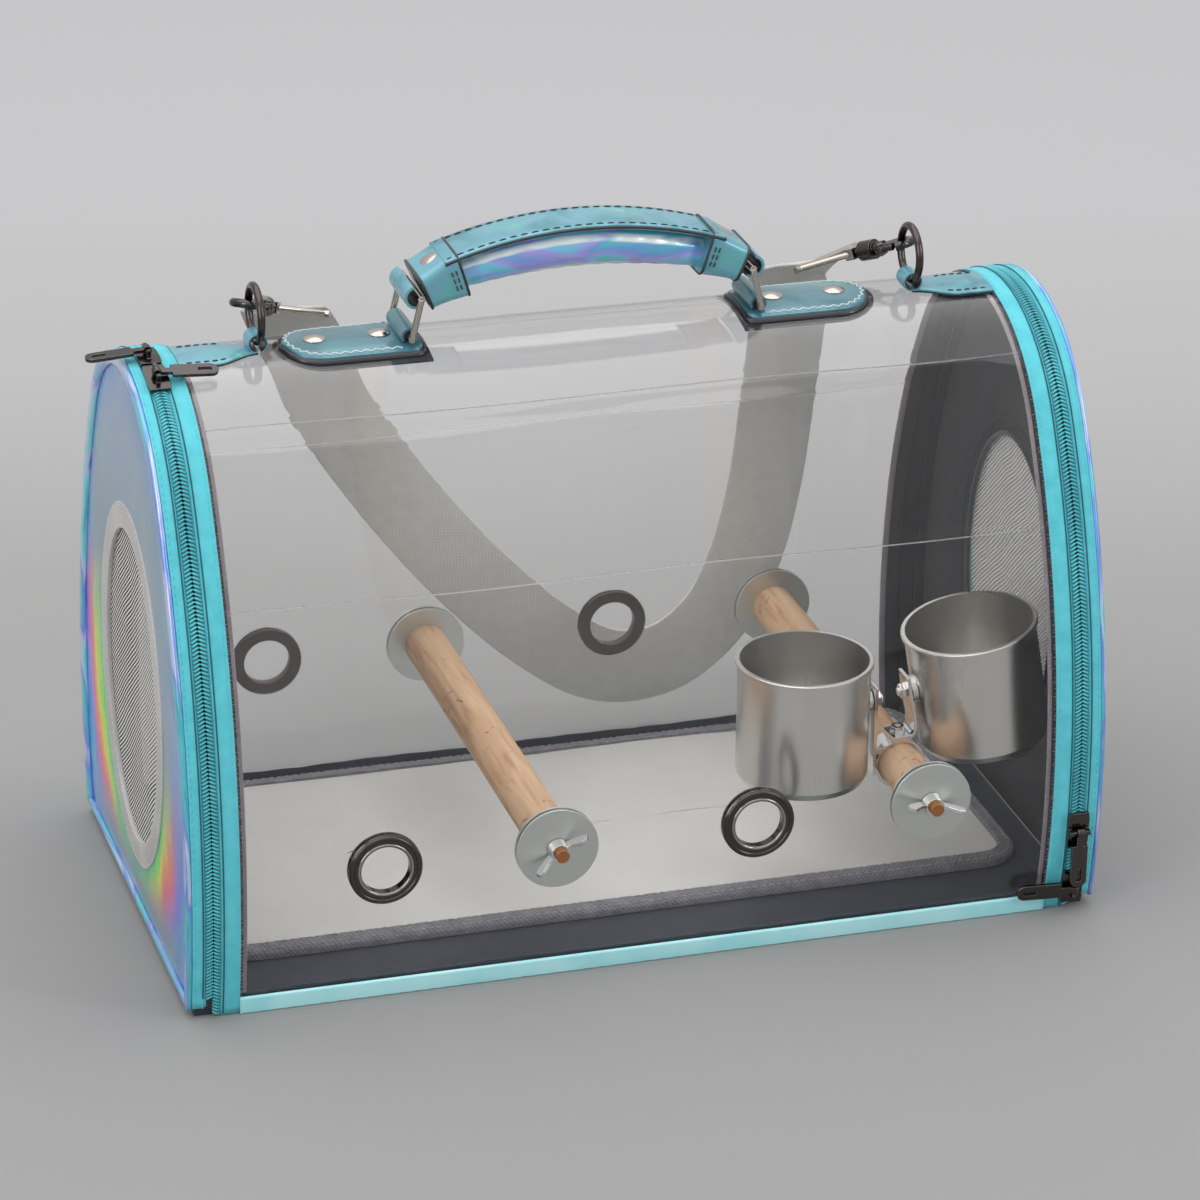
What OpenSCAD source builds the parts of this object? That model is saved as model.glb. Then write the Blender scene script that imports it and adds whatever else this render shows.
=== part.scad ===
// Bird travel carrier: a clear tunnel bag with two zipped end doors, two perches and two cups.
// X runs along the tunnel, Y away from the front, Z up. The origin is the bottom centre.

/* [Body] */
// Length over the two end doors
body_l = 420; // [404:2:436]
// Half of the greatest depth of the tunnel
half_d = 112; // [108:1:116]
// Height at which the tunnel is deepest
belly_z = 65; // [62:1:68]
// Radius of the rounded top
top_r = 80; // [77:1:83]
// Height of the clear cover
cover_h = 264; // [258:1:270]
// Thickness of the clear sheet
cover_t = 1.2; // [0.8:0.1:1.6]
// Thickness of the base board
base_t = 3.6; // [3.2:0.2:3.8]
// Height of the sill trims
sill_h = 8.5; // [7:0.5:10]
// Thickness of the sill trims
sill_t = 2.2; // [1.8:0.2:2.6]
// Thickness of the grey facings inside the ends
facing_t = 1; // [0.8:0.1:1.2]

/* [Floor mat] */
// Gap between the mat and each door
mat_gap = 14.6; // [12:0.2:24]
// Width of the bare floor in front of the mat
floor_strip = 35.6; // [28:0.4:48]
// Thickness of the mat
mat_t = 5; // [4:0.5:7]
// Corner radius of the mat
mat_r = 18; // [12:1:24]

/* [Zips] */
// Width of a zip tape beside the coil
tape_w = 9; // [8:0.5:9.5]
// Thickness of a zip tape
tape_t = 1; // [0.8:0.1:1.1]
// Width of one coil
coil_w = 2.6; // [2.4:0.1:2.8]
// Thickness of the coils
coil_t = 2.4; // [2.2:0.1:2.6]
// Gap between the two coils
coil_gap = 1; // [0.9:0.1:1.1]
// Length of a slider
slider_l = 17; // [15:0.5:18]
// Width of a slider
slider_w = 10; // [9.6:0.1:10.4]
// Length of a pull tab beyond its eye
pull_l = 27; // [24:0.5:27.5]
// Width of a pull tab
pull_w = 7.5; // [6.5:0.1:8]

/* [Doors] */
// Thickness of a door panel
panel_t = 1.6; // [1.4:0.1:1.8]
// Thickness of a door lining
lining_t = 1.2; // [1:0.1:1.4]
// Half width of a window over its trim
win_w = 64; // [58:1:68]
// Half height of a window over its trim
win_h = 85; // [78:1:88]
// Height of the window centres
win_z = 111; // [106:1:116]
// Width of the window trim
trim_w = 12; // [9:0.5:14]
// Height of the fold that each door turns on
fold_z = 4.4; // [4.3:0.1:4.8]

/* [Handle] */
// Middle of the handle along the tunnel
handle_x = -5; // [-8:1:0]
// Distance between the two fixed loop pins
loop_span = 159; // [156:1:161]
// Height of a loop between its two pins
loop_h = 18.5; // [17.5:0.5:20]
// Clear width of a loop
loop_w = 31; // [30.5:0.5:33]
// Radius of the loop wire
loop_wire = 1.6; // [1.5:0.1:1.8]
// Gap between the left handle tab and the ring's fold
tab_gap = 5.4; // [4:0.2:9]
// Width of a handle tab
tab_w = 38; // [34:1:40]
// Thickness of a handle tab
tab_t = 2.8; // [2.4:0.2:3.2]
// Radius of the padded roll
roll_r = 10; // [9:0.5:10.5]
// Radius of the handle's bow
bow_r = 182; // [170:2:200]

/* [Perches] */
// Height of the perches and eyelets
perch_z = 64; // [62:1:66]
// Distance of the left perch from the left end
perch_in = 165; // [150:1:175]
// Radius of the dowels
dowel_r = 10; // [9:0.25:10.25]
// Radius of the perch washers
washer_r = 18.5; // [16:0.5:19]
// Thickness of the perch washers
washer_t = 1.2; // [1:0.1:1.6]
// Radius of the threaded studs
stud_r = 3; // [2.8:0.1:3.1]
// Span of a wing nut from the axis
wing_r = 14; // [12:0.5:15]

/* [Eyelets] */
// Distance of the left eyelets from the left end
eyelet_in = 88; // [80:1:94]
// Distance of the right eyelets from the right perch
eyelet_step = 80.6; // [76:0.2:86]
// Outer radius of an eyelet
eyelet_r = 16.5; // [15:0.5:17]
// Clear radius of an eyelet
eyelet_hole = 11; // [10:0.25:11.25]

/* [Cups] */
// Radius of a cup at its rim
cup_r = 31; // [30:0.25:31.25]
// Height of a cup
cup_h = 58; // [54:1:59]
// Thickness of a cup wall
cup_t = 0.8; // [0.7:0.1:1]
// Depth position of the cup clamp
clamp_y = -66; // [-67:0.5:-62]
// Tilt of the right cup
cup_tilt = 10; // [8:0.5:11]
// Gap between the right cup and the right door
cup_gap = 6; // [4:0.5:10]

/* [Rings and strap] */
// Distance of the strap rings from the ends
ring_in = 60; // [55:1:64]
// Radius of a strap ring to the wire's centre
ring_r = 12.25; // [12:0.25:12.5]
// Radius of the ring wire
ring_wire = 1.75; // [1.6:0.05:1.8]
// Width of the shoulder strap
strap_w = 38; // [36:1:39]
// Thickness of the shoulder strap
strap_t = 1.6; // [1.2:0.1:2]

/* [Hidden] */
$fn = 48;

// Tunnel section: two flat side arcs that run smoothly into the top arc
top_z = cover_h - top_r;
far = 2 * cover_h;
rise = top_z - belly_z;
side_r = (half_d * half_d + rise * rise - top_r * top_r) / (2 * (half_d - top_r));
side_y = side_r - half_d;
phi = atan2(rise, side_y);
step = 2.5;
top_n = 41;
k0 = floor(asin(-belly_z / side_r) / step - 0.5) - 1;
side_angles = [for (k = [k0 : 1 : 40]) if ((k + 0.5) * step < phi - 0.4) (k + 0.5) * step];
belly_y = side_r * cos(step / 2) - side_y;
apex = top_z + top_r * cos((180 - 2 * phi) / top_n / 2);
function rear_side(o) = [for (a = side_angles) [(side_r + o) * cos(a) - side_y,
  belly_z + (side_r + o) * sin(a)]];
function top_arc(o) = [for (i = [0 : top_n]) let(a = phi + i * (180 - 2 * phi) / top_n)
  [(top_r + o) * cos(a), top_z + (top_r + o) * sin(a)]];
function front_of(p) = [for (i = [len(p) - 1 : -1 : 0]) [-p[i][0], p[i][1]]];
function arch(o) = concat(rear_side(o), top_arc(o), front_of(rear_side(o)));
function inner_y(z) = sqrt(pow(side_r - cover_t, 2) - pow(z - belly_z, 2)) - side_y - 0.3;
function flip(p) = [for (i = [len(p) - 1 : -1 : 0]) p[i]];

// Perches: the inner face of the cover behind a washer, and where each piece ends along Y
inner_face = belly_y - cover_t - (side_r - sqrt(side_r * side_r - washer_r * washer_r)) - 0.1;
dowel_end = inner_face - washer_t;
nut_y = belly_y + washer_t + 0.25;
stud_end = nut_y + 8;
stud_in = 12;
stud_gap = 0.05;
hole_gap = 0.4;
barrel_t = 0.8;
flange_t = 1.3;
flange_in = 1;
nut_turns = [35, 70, -10, 20];

// Positions along X, measured on the right half
x_end = body_l / 2;
welt_w = 2.6;
x_panel = x_end - welt_w;
x_in_panel = x_panel - panel_t;
x_in_lining = x_in_panel - lining_t;
fold_in = 4;
x_fold = x_end - fold_in;
coil_in = 8.8;
coil_o = x_end - coil_in;
chain_x = coil_o - coil_w - coil_gap / 2;
coil_i = chain_x - coil_gap / 2 - coil_w;
tape_i = coil_i - tape_w;
coil_lo = tape_t / 2 - coil_t / 2;
coil_hi = tape_t / 2 + coil_t / 2;
floor_z = base_t;
foot = 0.4;
lap = 0.5;
cover_lap = 4;
facing_in = 5;
facing_out = 2.6;
door_z = fold_z + foot / 2;
zip_rise = 5;
zip_z = door_z + zip_rise;
welt_in = 3;
welt_out = 0.6;
strip_h = 3.4;
strip_in = 2;
join = 0.01;
trim_t = 1.2;
mesh_in = 0.5;
mesh_t = 0.6;

// Sliders: where each one is parked, as an angle round its arc
front_park = 90 + 14.5;
rear_park = 90 + 1;
upper_z = 42;
lower_z = base_t + slider_l / 2 + 0.5;
upper_park = asin((upper_z - belly_z) / side_r);
lower_park = asin((lower_z - belly_z) / side_r);
plate_t = 1.4;
plate_gap = 0.4;
plate_lo = coil_hi + plate_gap;
plate_hi = plate_lo + plate_t;
under_t = 1.2;
under_gap = 0.7;
under_hi = coil_lo - under_gap;
under_lo = under_hi - under_t;
side_gap = 0.3;
slider_bevel = 1.4;
wedge_l = 6;
fin_t = 0.4;
bail_l = 8;
leg = [1.8, 4.2, 1.4];
leg_drop = 0.9;
bar_r = 0.85;
bar_gap = 0.3;
bail_h = plate_hi + 2.3;
pull_t = 1.6;
pull_neck = 6.5;
pull_slot = [6, 2.4];
pull_slot_in = 9;
pull_lay = 4;
eye_r = 2;
eye_w = 3;

// Floor mat
mat_play = 1;
mat_lift = 0.05;
mat_shift = 2;
mat_l = 2 * (x_in_lining - mat_gap);
mat_back = inner_y(floor_z) - facing_t - mat_play;
mat_front = floor_strip - inner_y(floor_z);
mat_d = mat_back - mat_front;

// Strap rings
ring_x = x_end - ring_in;
ring_z = apex + 4.7;
ring_tab_t = 1.6;
ring_tab_w = 25;
fold_bore = 3.3;
fold_r = fold_bore + 1.3;

// Handle
pin_gap = 0.08;
loop_play = 0.9;
knuckle_r = 4.1;
knuckle_side = 2.5;
knuckle_foot = 0.6;
pin_z = apex + tab_t + 1.9;
tab_in = 6.5;
rivet_dome = 11;
rivet_h = 1.4;
tab_rivet_r = 5;
cuff_rivet_r = 4.6;
backing_t = 1;
backing_edge = 2;
pin_l = handle_x - loop_span / 2;
pin_r = handle_x + loop_span / 2;
tab_l = ring_x - fold_r - tab_gap + pin_l + tab_in;
tab_rivet_at = [10.5, tab_l - 22.5];
lean = 13;
grip_l = pin_l + loop_h * sin(lean);
grip_r = pin_r - loop_h * sin(lean);
grip_z = pin_z + loop_h * cos(lean);
half_grip = (grip_r - grip_l) / 2;
grip_up = 3;
bow_z = grip_z - grip_up - sqrt(bow_r * bow_r - half_grip * half_grip);
bow_end = asin(half_grip / bow_r);
cuff_a = bow_end - 6.2;
cuff_w = loop_w - 3;
strap_top = roll_r + 2.4;
cuff_step = 4.6;
cuff_mid = 9.5;

// Cups, clamp and the perches' places along X
boss_l = 2.4;
boss_gap = 0.4;
cup_drop = 34;
wall_in = 1.2;
cup_out = boss_l + boss_gap - wall_in - 0.2 + cup_r;
bolt_in = 5.4;
cup_reach = (cup_out + cup_r - wall_in) * cos(cup_tilt) + (cup_drop - 4.5) * sin(cup_tilt);
perch_r_x = x_in_lining - cup_gap - cup_reach - dowel_r + bolt_in;
perch_l_x = perch_in - x_end;
eyelet_l_x = eyelet_in - x_end;
eyelet_r_x = perch_r_x - eyelet_step;
strip_x = perch_r_x - dowel_r - 3.1;
cup_l_x = strip_x - 1 - cup_r;
cup_base_z = perch_z - 3;
bolt_z = cup_base_z + cup_drop;
bolt_r = 2;
stub_l = boss_l + 5.6;
clamp_t = 1.5;
clamp_w = 12;
saddle_r = dowel_r + 0.3;
seat_z = perch_z + saddle_r + clamp_t + 1.7;
seat_w = 4.5;
strip_foot = 4;
strip_over = 8;
lip = [6, 3];
saddle_cut = 4;
thread_gap = 0.05;
nut_r = 3.8;
nut_t = 2.6;
screw_r = 3.4;
screw_h = 3;
socket_r = 1.4;
arm_low = 7;
arm_over = 8;
arm_n = 8;
cup_r_bolt = [perch_r_x + dowel_r - bolt_in, 0, bolt_z + 3];

// Snap hooks
hook_turn = 56.5;
hook_dip = 22;
hook_len = 42;
hook_r = 7.5;
hook_wire = 2;
ear_t = 0.8;
ear_gap = 1.75;
ear_r = 1.9;
ear_l = 4.2;
ear_pin = [0.8, 5.8];
swivel = [[-0.6, 7, 3.1], [5, 7.5, 4.6], [12, 3, 2.1]];
gate_r = 1.3;
gate_w = 3;
gate_over = 3.2;
gate_bore = 0.85;
eye_start = hook_r + 15.4;
eye_block = [4.6, 9, 5.2];
eye_leg = 1.35;
eye_leg_y = 2.5;
eye_bar = 1.55;
eye_play = 2.2;
hinge_a = 40;
nose_a = 126;
hinge_out = 2.25;
knuckle = [hook_r * cos(hinge_a) - sin(hinge_a) * hinge_out,
  hook_r * sin(hinge_a) + cos(hinge_a) * hinge_out, 0];
link_off = 2.7;
link_r = [ring_x - link_off * cos(hook_turn), ring_r + link_off * sin(hook_turn),
  ring_z + ring_r - 1.2];
link_l = [-link_r[0], link_r[1], link_r[2]];
function along(p, s, d) = p + d * [s * cos(hook_turn) * cos(hook_dip),
  sin(hook_turn) * cos(hook_dip), -sin(hook_dip)];

// Shoulder strap: its route behind the tunnel, with the outward normal at each point
strap_a = along(link_l, 1, hook_len);
strap_b = along(link_r, -1, hook_len);
route = [strap_a, [-119, 66, 250], [-104, 96, 223], [-90, 116, 190], [-72, 126, 160],
  [-48, 131, 125], [-18, 131, 88], [15, 131, 55], [48, 131, 33], [80, 131, 33], [106, 131, 53],
  [121, 131, 85], [129, 130, 122], [132, 126, 160], [131, 114, 196], [125, 92, 229],
  [115, 66, 250], strap_b];
face = [[0, 0.2, 1], [0, 0.7, 0.7], [0, 0.9, 0.5], [0, 1, 0.3], [0, 1, 0.1], [0, 1, 0],
  [0, 1, 0], [0, 1, 0], [0, 1, 0], [0, 1, 0], [0, 1, 0], [0, 1, 0], [0, 1, 0.05],
  [0, 1, 0.15], [0, 1, 0.35], [0, 0.9, 0.6], [0, 0.7, 0.75], [0, 0.2, 1]];
function unit(v) = v / norm(v);
function at(l, i) = l[max(0, min(len(l) - 1, i))];
function smooth(l, i, t) = 0.5 * ((2 * at(l, i)) + (at(l, i + 1) - at(l, i - 1)) * t
  + (2 * at(l, i - 1) - 5 * at(l, i) + 4 * at(l, i + 1) - at(l, i + 2)) * t * t
  + (3 * at(l, i) - at(l, i - 1) - 3 * at(l, i + 1) + at(l, i + 2)) * t * t * t);
strap_pts = concat([for (i = [0 : len(route) - 2]) for (t = [0, 0.5]) smooth(route, i, t)],
  [strap_b]);
strap_face = concat([for (i = [0 : len(route) - 2]) for (t = [0, 0.5]) smooth(face, i, t)],
  [face[len(face) - 1]]);

// Colours
teal = [0.31, 0.8, 0.86];
teal_light = [0.6, 0.93, 0.96];
holo = [0.45, 0.75, 0.85];
charcoal = [0.2, 0.21, 0.24];
gunmetal = [0.25, 0.25, 0.27];
steel = [0.72, 0.72, 0.73];

// A band that follows the tunnel section between two offsets, from height z0 up
module arch_band(x0, x1, lo, hi, z0) {
  intersection() {
    translate([x0, 0, 0])
      rotate([90, 0, 90])
        linear_extrude(x1 - x0)
          polygon(concat(arch(hi), flip(arch(lo))));
    translate([x0 - far, -far, z0])
      cube([x1 - x0 + 2 * far, 2 * far, far]);
  }
}

// A full slice of the tunnel section, from height z0 up to z1
module arch_slice(x0, x1, o, z0, z1 = far) {
  intersection() {
    translate([x0, 0, 0])
      rotate([90, 0, 90])
        linear_extrude(x1 - x0)
          polygon(arch(o));
    translate([x0 - far, -far, z0])
      cube([x1 - x0 + 2 * far, 2 * far, z1 - z0]);
  }
}

// The right-hand shape, or its mirror image on the left
module handed(s) {
  mirror([s < 0 ? 1 : 0, 0, 0])
    children();
}

// A ring section swept about the X axis by an angle either side of +Y
module arc_x(r0, r1, x0, x1, half) {
  rotate([90, 0, 90])
    rotate_extrude(angle = 2 * half, start = -half, $fn = 360)
      translate([r0, x0])
        square([r1 - r0, x1 - x0]);
}

// An oval cylinder along X, as a fine polygon
module oval(x0, x1, ry, rz, cz) {
  translate([x0, 0, cz])
    rotate([90, 0, 90])
      linear_extrude(x1 - x0)
        polygon([for (a = [0 : 6 : 354]) [ry * cos(a), rz * sin(a)]]);
}

module clear_cover() {
  color([0.9, 0.94, 0.95, 0.35])
    difference() {
      arch_band(-tape_i - cover_lap, tape_i + cover_lap, -cover_t, 0, foot);
      for (x = [eyelet_l_x, eyelet_r_x])
        translate([x, 0, perch_z])
          rotate([90, 0, 0])
            cylinder(h = far, r = eyelet_hole + barrel_t + hole_gap / 2, center = true);
      for (x = [perch_l_x, perch_r_x])
        translate([x, 0, perch_z])
          rotate([90, 0, 0])
            cylinder(h = far, r = stud_r + hole_gap, center = true);
    }
}

module base_board() {
  color(charcoal)
    arch_slice(foot - x_fold, x_fold - foot, -cover_t, 0, base_t);
}

module sill(s) {
  color(teal_light)
    intersection() {
      arch_band(-tape_i, tape_i, 0, sill_t, 0);
      translate([-x_end, s > 0 ? 0 : -far, 0])
        cube([2 * x_end, far, sill_h]);
    }
}

module front_sill() {
  sill(-1);
}

module rear_sill() {
  sill(1);
}

module body_zip(s) {
  color(teal)
    handed(s)
      union() {
        arch_band(tape_i, coil_i + lap, 0, tape_t, foot);
        arch_band(coil_i, coil_i + coil_w, coil_lo, coil_hi, foot);
      }
}

module left_body_zip() {
  body_zip(-1);
}

module right_body_zip() {
  body_zip(1);
}

module facing(s) {
  color(charcoal)
    handed(s)
      arch_band(tape_i - facing_in, coil_i - facing_out, -cover_t - facing_t, -cover_t, floor_z);
}

module left_facing() {
  facing(-1);
}

module right_facing() {
  facing(1);
}

// The tongue outline of a handle tab, round at its outer end
module tongue(l, w) {
  translate([0, 0, top_z])
    linear_extrude(far)
      union() {
        translate([w / 2, -w / 2])
          square([l - w / 2, w]);
        translate([w / 2, 0])
          circle(r = w / 2);
      }
}

module handle_tab(s) {
  px = s < 0 ? pin_l : pin_r;
  color(holo)
    difference() {
      union() {
        intersection() {
          arch_band(-x_end, x_end, 0, tab_t, top_z);
          translate([px, 0, 0])
            rotate([0, 0, s < 0 ? 0 : 180])
              translate([tab_in - tab_l, 0, 0])
                tongue(tab_l, tab_w);
        }
        intersection() {
          translate([px, 0, pin_z])
            rotate([90, 0, 0])
              cylinder(h = loop_w - 2 * knuckle_side, r = knuckle_r, center = true);
          translate([px - far, -far, apex + knuckle_foot])
            cube([2 * far, 2 * far, far]);
        }
      }
      translate([px, 0, pin_z])
        rotate([90, 0, 0])
          cylinder(h = far, r = loop_wire + pin_gap, center = true);
    }
}

module left_handle_tab() {
  handle_tab(-1);
}

module right_handle_tab() {
  handle_tab(1);
}

module tab_backings() {
  color(charcoal)
    for (s = [-1, 1])
      intersection() {
        arch_band(-x_end, x_end, -cover_t - backing_t, -cover_t, top_z);
        translate([s < 0 ? pin_l : pin_r, 0, 0])
          rotate([0, 0, s < 0 ? 0 : 180])
            translate([tab_in - tab_l - backing_edge, 0, 0])
              tongue(tab_l + 2 * backing_edge, tab_w + 2 * backing_edge);
      }
}

// A low domed rivet head on the plane z = 0
module rivet_head(r) {
  intersection() {
    translate([0, 0, rivet_h - rivet_dome])
      sphere(r = rivet_dome, $fn = 144);
    cylinder(h = 2 * rivet_h, r = r, $fn = 96);
  }
}

module tab_rivets() {
  color(steel)
    for (s = [-1, 1])
      for (d = tab_rivet_at)
        translate([(s < 0 ? pin_l : pin_r) + s * d, 0, apex + tab_t])
          rivet_head(tab_rivet_r);
}

// The strap that holds a ring, with a fold round the wire at its inner end
module ring_tab(s) {
  wide = ring_tab_w / 2;
  neck = 0.4 * wide;
  edge = [[ring_x, neck], [ring_x + 0.65 * wide, 1.2 * neck], [ring_x + 1.6 * wide, wide],
    [x_end, wide]];
  color(teal)
    handed(s)
      difference() {
        union() {
          intersection() {
            arch_band(ring_x, tape_i, 0, ring_tab_t, top_z);
            translate([0, 0, top_z])
              linear_extrude(far)
                polygon(concat(edge, [for (i = [len(edge) - 1 : -1 : 0]) [edge[i][0], -edge[i][1]]]));
          }
          translate([ring_x, 0, ring_z])
            rotate([90, 0, 0])
              cylinder(h = 2 * neck, r = fold_r, center = true);
        }
        translate([ring_x, 0, ring_z])
          rotate([90, 0, 0])
            cylinder(h = far, r = fold_bore, center = true);
      }
}

module left_ring_tab() {
  ring_tab(-1);
}

module right_ring_tab() {
  ring_tab(1);
}

// One eyelet: a flange outside, a barrel through the sheet and a flange inside
module eyelet() {
  sag = side_r - sqrt(side_r * side_r - eyelet_r * eyelet_r) + 0.1;
  back = belly_y - cover_t - sag;
  bevel = 0.6;
  rotate([-90, 0, 0])
    rotate_extrude()
      polygon([[eyelet_hole, belly_y + flange_t], [eyelet_r - bevel, belly_y + flange_t],
        [eyelet_r, belly_y + flange_t - bevel], [eyelet_r, belly_y],
        [eyelet_hole + barrel_t, belly_y], [eyelet_hole + barrel_t, back], [eyelet_r, back],
        [eyelet_r, back - flange_in], [eyelet_hole, back - flange_in]]);
}

module eyelets() {
  color(gunmetal)
    for (x = [eyelet_l_x, eyelet_r_x])
      translate([x, 0, perch_z])
        for (s = [0, 180])
          rotate([0, 0, s])
            eyelet();
}

module perch(x) {
  color([0.85, 0.66, 0.48])
    translate([x, 0, perch_z])
      rotate([90, 0, 0])
        difference() {
          cylinder(h = 2 * dowel_end, r = dowel_r, center = true);
          for (s = [-1, 1])
            translate([0, 0, s * dowel_end])
              cylinder(h = 2 * stud_in + 0.2, r = stud_r + stud_gap, center = true);
        }
}

module left_perch() {
  perch(perch_l_x);
}

module right_perch() {
  perch(perch_r_x);
}

module perch_studs() {
  color([0.75, 0.55, 0.35])
    for (x = [perch_l_x, perch_r_x])
      for (s = [0, 180])
        translate([x, 0, perch_z])
          rotate([0, 0, s])
            translate([0, dowel_end - stud_in, 0])
              rotate([-90, 0, 0])
                cylinder(h = stud_end - dowel_end + stud_in, r = stud_r);
}

module perch_washers() {
  color([0.75, 0.76, 0.76])
    for (x = [perch_l_x, perch_r_x])
      for (s = [0, 180])
        translate([x, 0, perch_z])
          rotate([0, 0, s])
            for (y = [dowel_end, belly_y])
              translate([0, y, 0])
                rotate([-90, 0, 0])
                  difference() {
                    cylinder(h = washer_t, r = washer_r);
                    cylinder(h = far, r = stud_r + hole_gap / 2, center = true);
                  }
}

// A wing nut on the front (s = 1) or the rear (s = -1), turned by an angle
module wing_nut(x, s, turn) {
  k = wing_r / 14;
  hub_r = stud_r + 2 * k;
  wing_t = 1.8 * k;
  wing = [[3, 0.6], [5.5, 0.8], [12, 4.2], [14, 6.6], [13, 9], [10.6, 9.2], [6, 5.4], [3.2, 4.6]];
  color(steel)
    translate([x, 0, perch_z])
      rotate([0, 0, s > 0 ? 180 : 0])
        rotate([-90, 0, 0])
          rotate([0, 0, turn])
            translate([0, 0, nut_y])
              difference() {
                union() {
                  cylinder(h = 5 * k, r1 = hub_r, r2 = hub_r - 0.8 * k);
                  for (m = [0, 180])
                    rotate([0, 0, m])
                      rotate([90, 0, 0])
                        linear_extrude(wing_t, center = true)
                          polygon(wing * k);
                }
                cylinder(h = far, r = stud_r + stud_gap, center = true);
              }
}

module wing_nut_left_front() {
  wing_nut(perch_l_x, 1, nut_turns[0]);
}

module wing_nut_left_rear() {
  wing_nut(perch_l_x, -1, nut_turns[1]);
}

module wing_nut_right_front() {
  wing_nut(perch_r_x, 1, nut_turns[2]);
}

module wing_nut_right_rear() {
  wing_nut(perch_r_x, -1, nut_turns[3]);
}

module floor_mat() {
  color([0.75, 0.74, 0.72])
    translate([mat_shift, (mat_back + mat_front) / 2, floor_z + mat_lift])
      linear_extrude(mat_t)
        union() {
          square([mat_l - 2 * mat_r, mat_d], center = true);
          square([mat_l, mat_d - 2 * mat_r], center = true);
          for (x = [-1, 1])
            for (y = [-1, 1])
              translate([x * (mat_l / 2 - mat_r), y * (mat_d / 2 - mat_r)])
                circle(r = mat_r);
        }
}

module strap_ring(s) {
  color(gunmetal)
    translate([s * ring_x, 0, ring_z + ring_r])
      rotate([0, 90, 0])
        rotate_extrude()
          translate([ring_r, 0])
            circle(r = ring_wire, $fn = 24);
}

module left_ring() {
  strap_ring(-1);
}

module right_ring() {
  strap_ring(1);
}

// The hook's own frame: x runs from the link towards the strap, z is across the hook
module hook_frame(s) {
  handed(s)
    translate(link_r)
      rotate([0, 0, 180 - hook_turn])
        rotate([0, hook_dip, 0])
          children();
}

module hook(s) {
  color(gunmetal)
    hook_frame(s)
      union() {
        rotate_extrude(angle = 360 + hinge_a - nose_a, start = nose_a)
          translate([hook_r, 0])
            circle(r = hook_wire, $fn = 24);
        for (z = [-ear_gap - ear_t, ear_gap])
          translate([knuckle[0], knuckle[1], z])
            linear_extrude(ear_t)
              union() {
                circle(r = ear_r);
                rotate(hinge_a - 90)
                  translate([0, -ear_r])
                    square([ear_l, 2 * ear_r]);
              }
        translate(knuckle)
          cylinder(h = ear_pin[1], r = ear_pin[0], center = true);
        for (b = swivel)
          translate([hook_r + b[0], 0, 0])
            rotate([0, 90, 0])
              cylinder(h = b[1], r = b[2]);
      }
}

module left_hook() {
  hook(-1);
}

module right_hook() {
  hook(1);
}

// The wide wire eye that carries the strap
module hook_eye(s) {
  half = strap_w / 2 + eye_play;
  run = hook_len - eye_start - 1;
  leg_l = norm([run, half - eye_leg_y]);
  turn = atan2(half - eye_leg_y, run);
  color([0.6, 0.6, 0.6])
    hook_frame(s)
      union() {
        translate([eye_start - 0.4, -eye_block[1] / 2, -eye_block[2] / 2])
          cube(eye_block);
        for (m = [-1, 1])
          translate([eye_start + 2, m * eye_leg_y, 0])
            rotate([0, 0, m * turn])
              rotate([0, 90, 0])
                cylinder(h = leg_l - 0.6, r = eye_leg);
        translate([hook_len, 0, 0])
          rotate([90, 0, 0])
            cylinder(h = 2 * half + 2.4, r = eye_bar, center = true);
      }
}

module left_hook_eye() {
  hook_eye(-1);
}

module right_hook_eye() {
  hook_eye(1);
}

// The sprung bar that closes a hook, turning on the pin between the hook's two ears
module gate(s) {
  reach = knuckle[0] + gate_over;
  color(gunmetal)
    hook_frame(s)
      translate(knuckle)
        difference() {
          union() {
            cylinder(h = gate_w, r = ear_r, center = true);
            rotate([0, -90, 0])
              cylinder(h = reach, r = gate_r);
          }
          cylinder(h = far, r = gate_bore, center = true);
        }
}

module left_gate() {
  gate(-1);
}

module right_gate() {
  gate(1);
}

// The webbing as one swept solid with a flat rectangular section
module shoulder_strap() {
  n = len(strap_pts);
  dirs = [for (i = [0 : n - 1]) unit(strap_pts[min(n - 1, i + 1)] - strap_pts[max(0, i - 1)])];
  wide = [for (i = [0 : n - 1]) unit(cross(dirs[i], strap_face[i]))];
  thin = [for (i = [0 : n - 1]) unit(cross(wide[i], dirs[i]))];
  pts = [for (i = [0 : n - 1]) for (c = [[-1, -1], [0, -1], [1, -1], [1, 1], [0, 1], [-1, 1]])
    strap_pts[i] + wide[i] * c[0] * strap_w / 2 + thin[i] * c[1] * strap_t / 2];
  tri = [for (i = [0 : n - 2]) for (j = [0 : 5]) let(a = i * 6 + j, b = i * 6 + (j + 1) % 6)
    for (t = [[a, b, a + 6], [b, b + 6, a + 6]]) t];
  ends = concat([for (j = [1 : 4]) [0, j + 1, j]],
    [for (j = [1 : 4]) [(n - 1) * 6, (n - 1) * 6 + j, (n - 1) * 6 + j + 1]]);
  color([0.62, 0.6, 0.57])
    polyhedron(points = pts, faces = [for (f = concat(tri, ends)) [f[0], f[2], f[1]]],
      convexity = 6);
}

module door_panel(s) {
  color(holo)
    handed(s)
      difference() {
        union() {
          arch_slice(x_in_panel, x_panel, 0, door_z);
          arch_band(x_panel - join, x_end, -welt_in, tape_t + welt_out, door_z);
          arch_slice(x_panel - join, x_end, -strip_in, door_z, door_z + strip_h);
        }
        oval(0, far, win_w - trim_w, win_h - trim_w, win_z);
      }
}

module left_door_panel() {
  door_panel(-1);
}

module right_door_panel() {
  door_panel(1);
}

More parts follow.
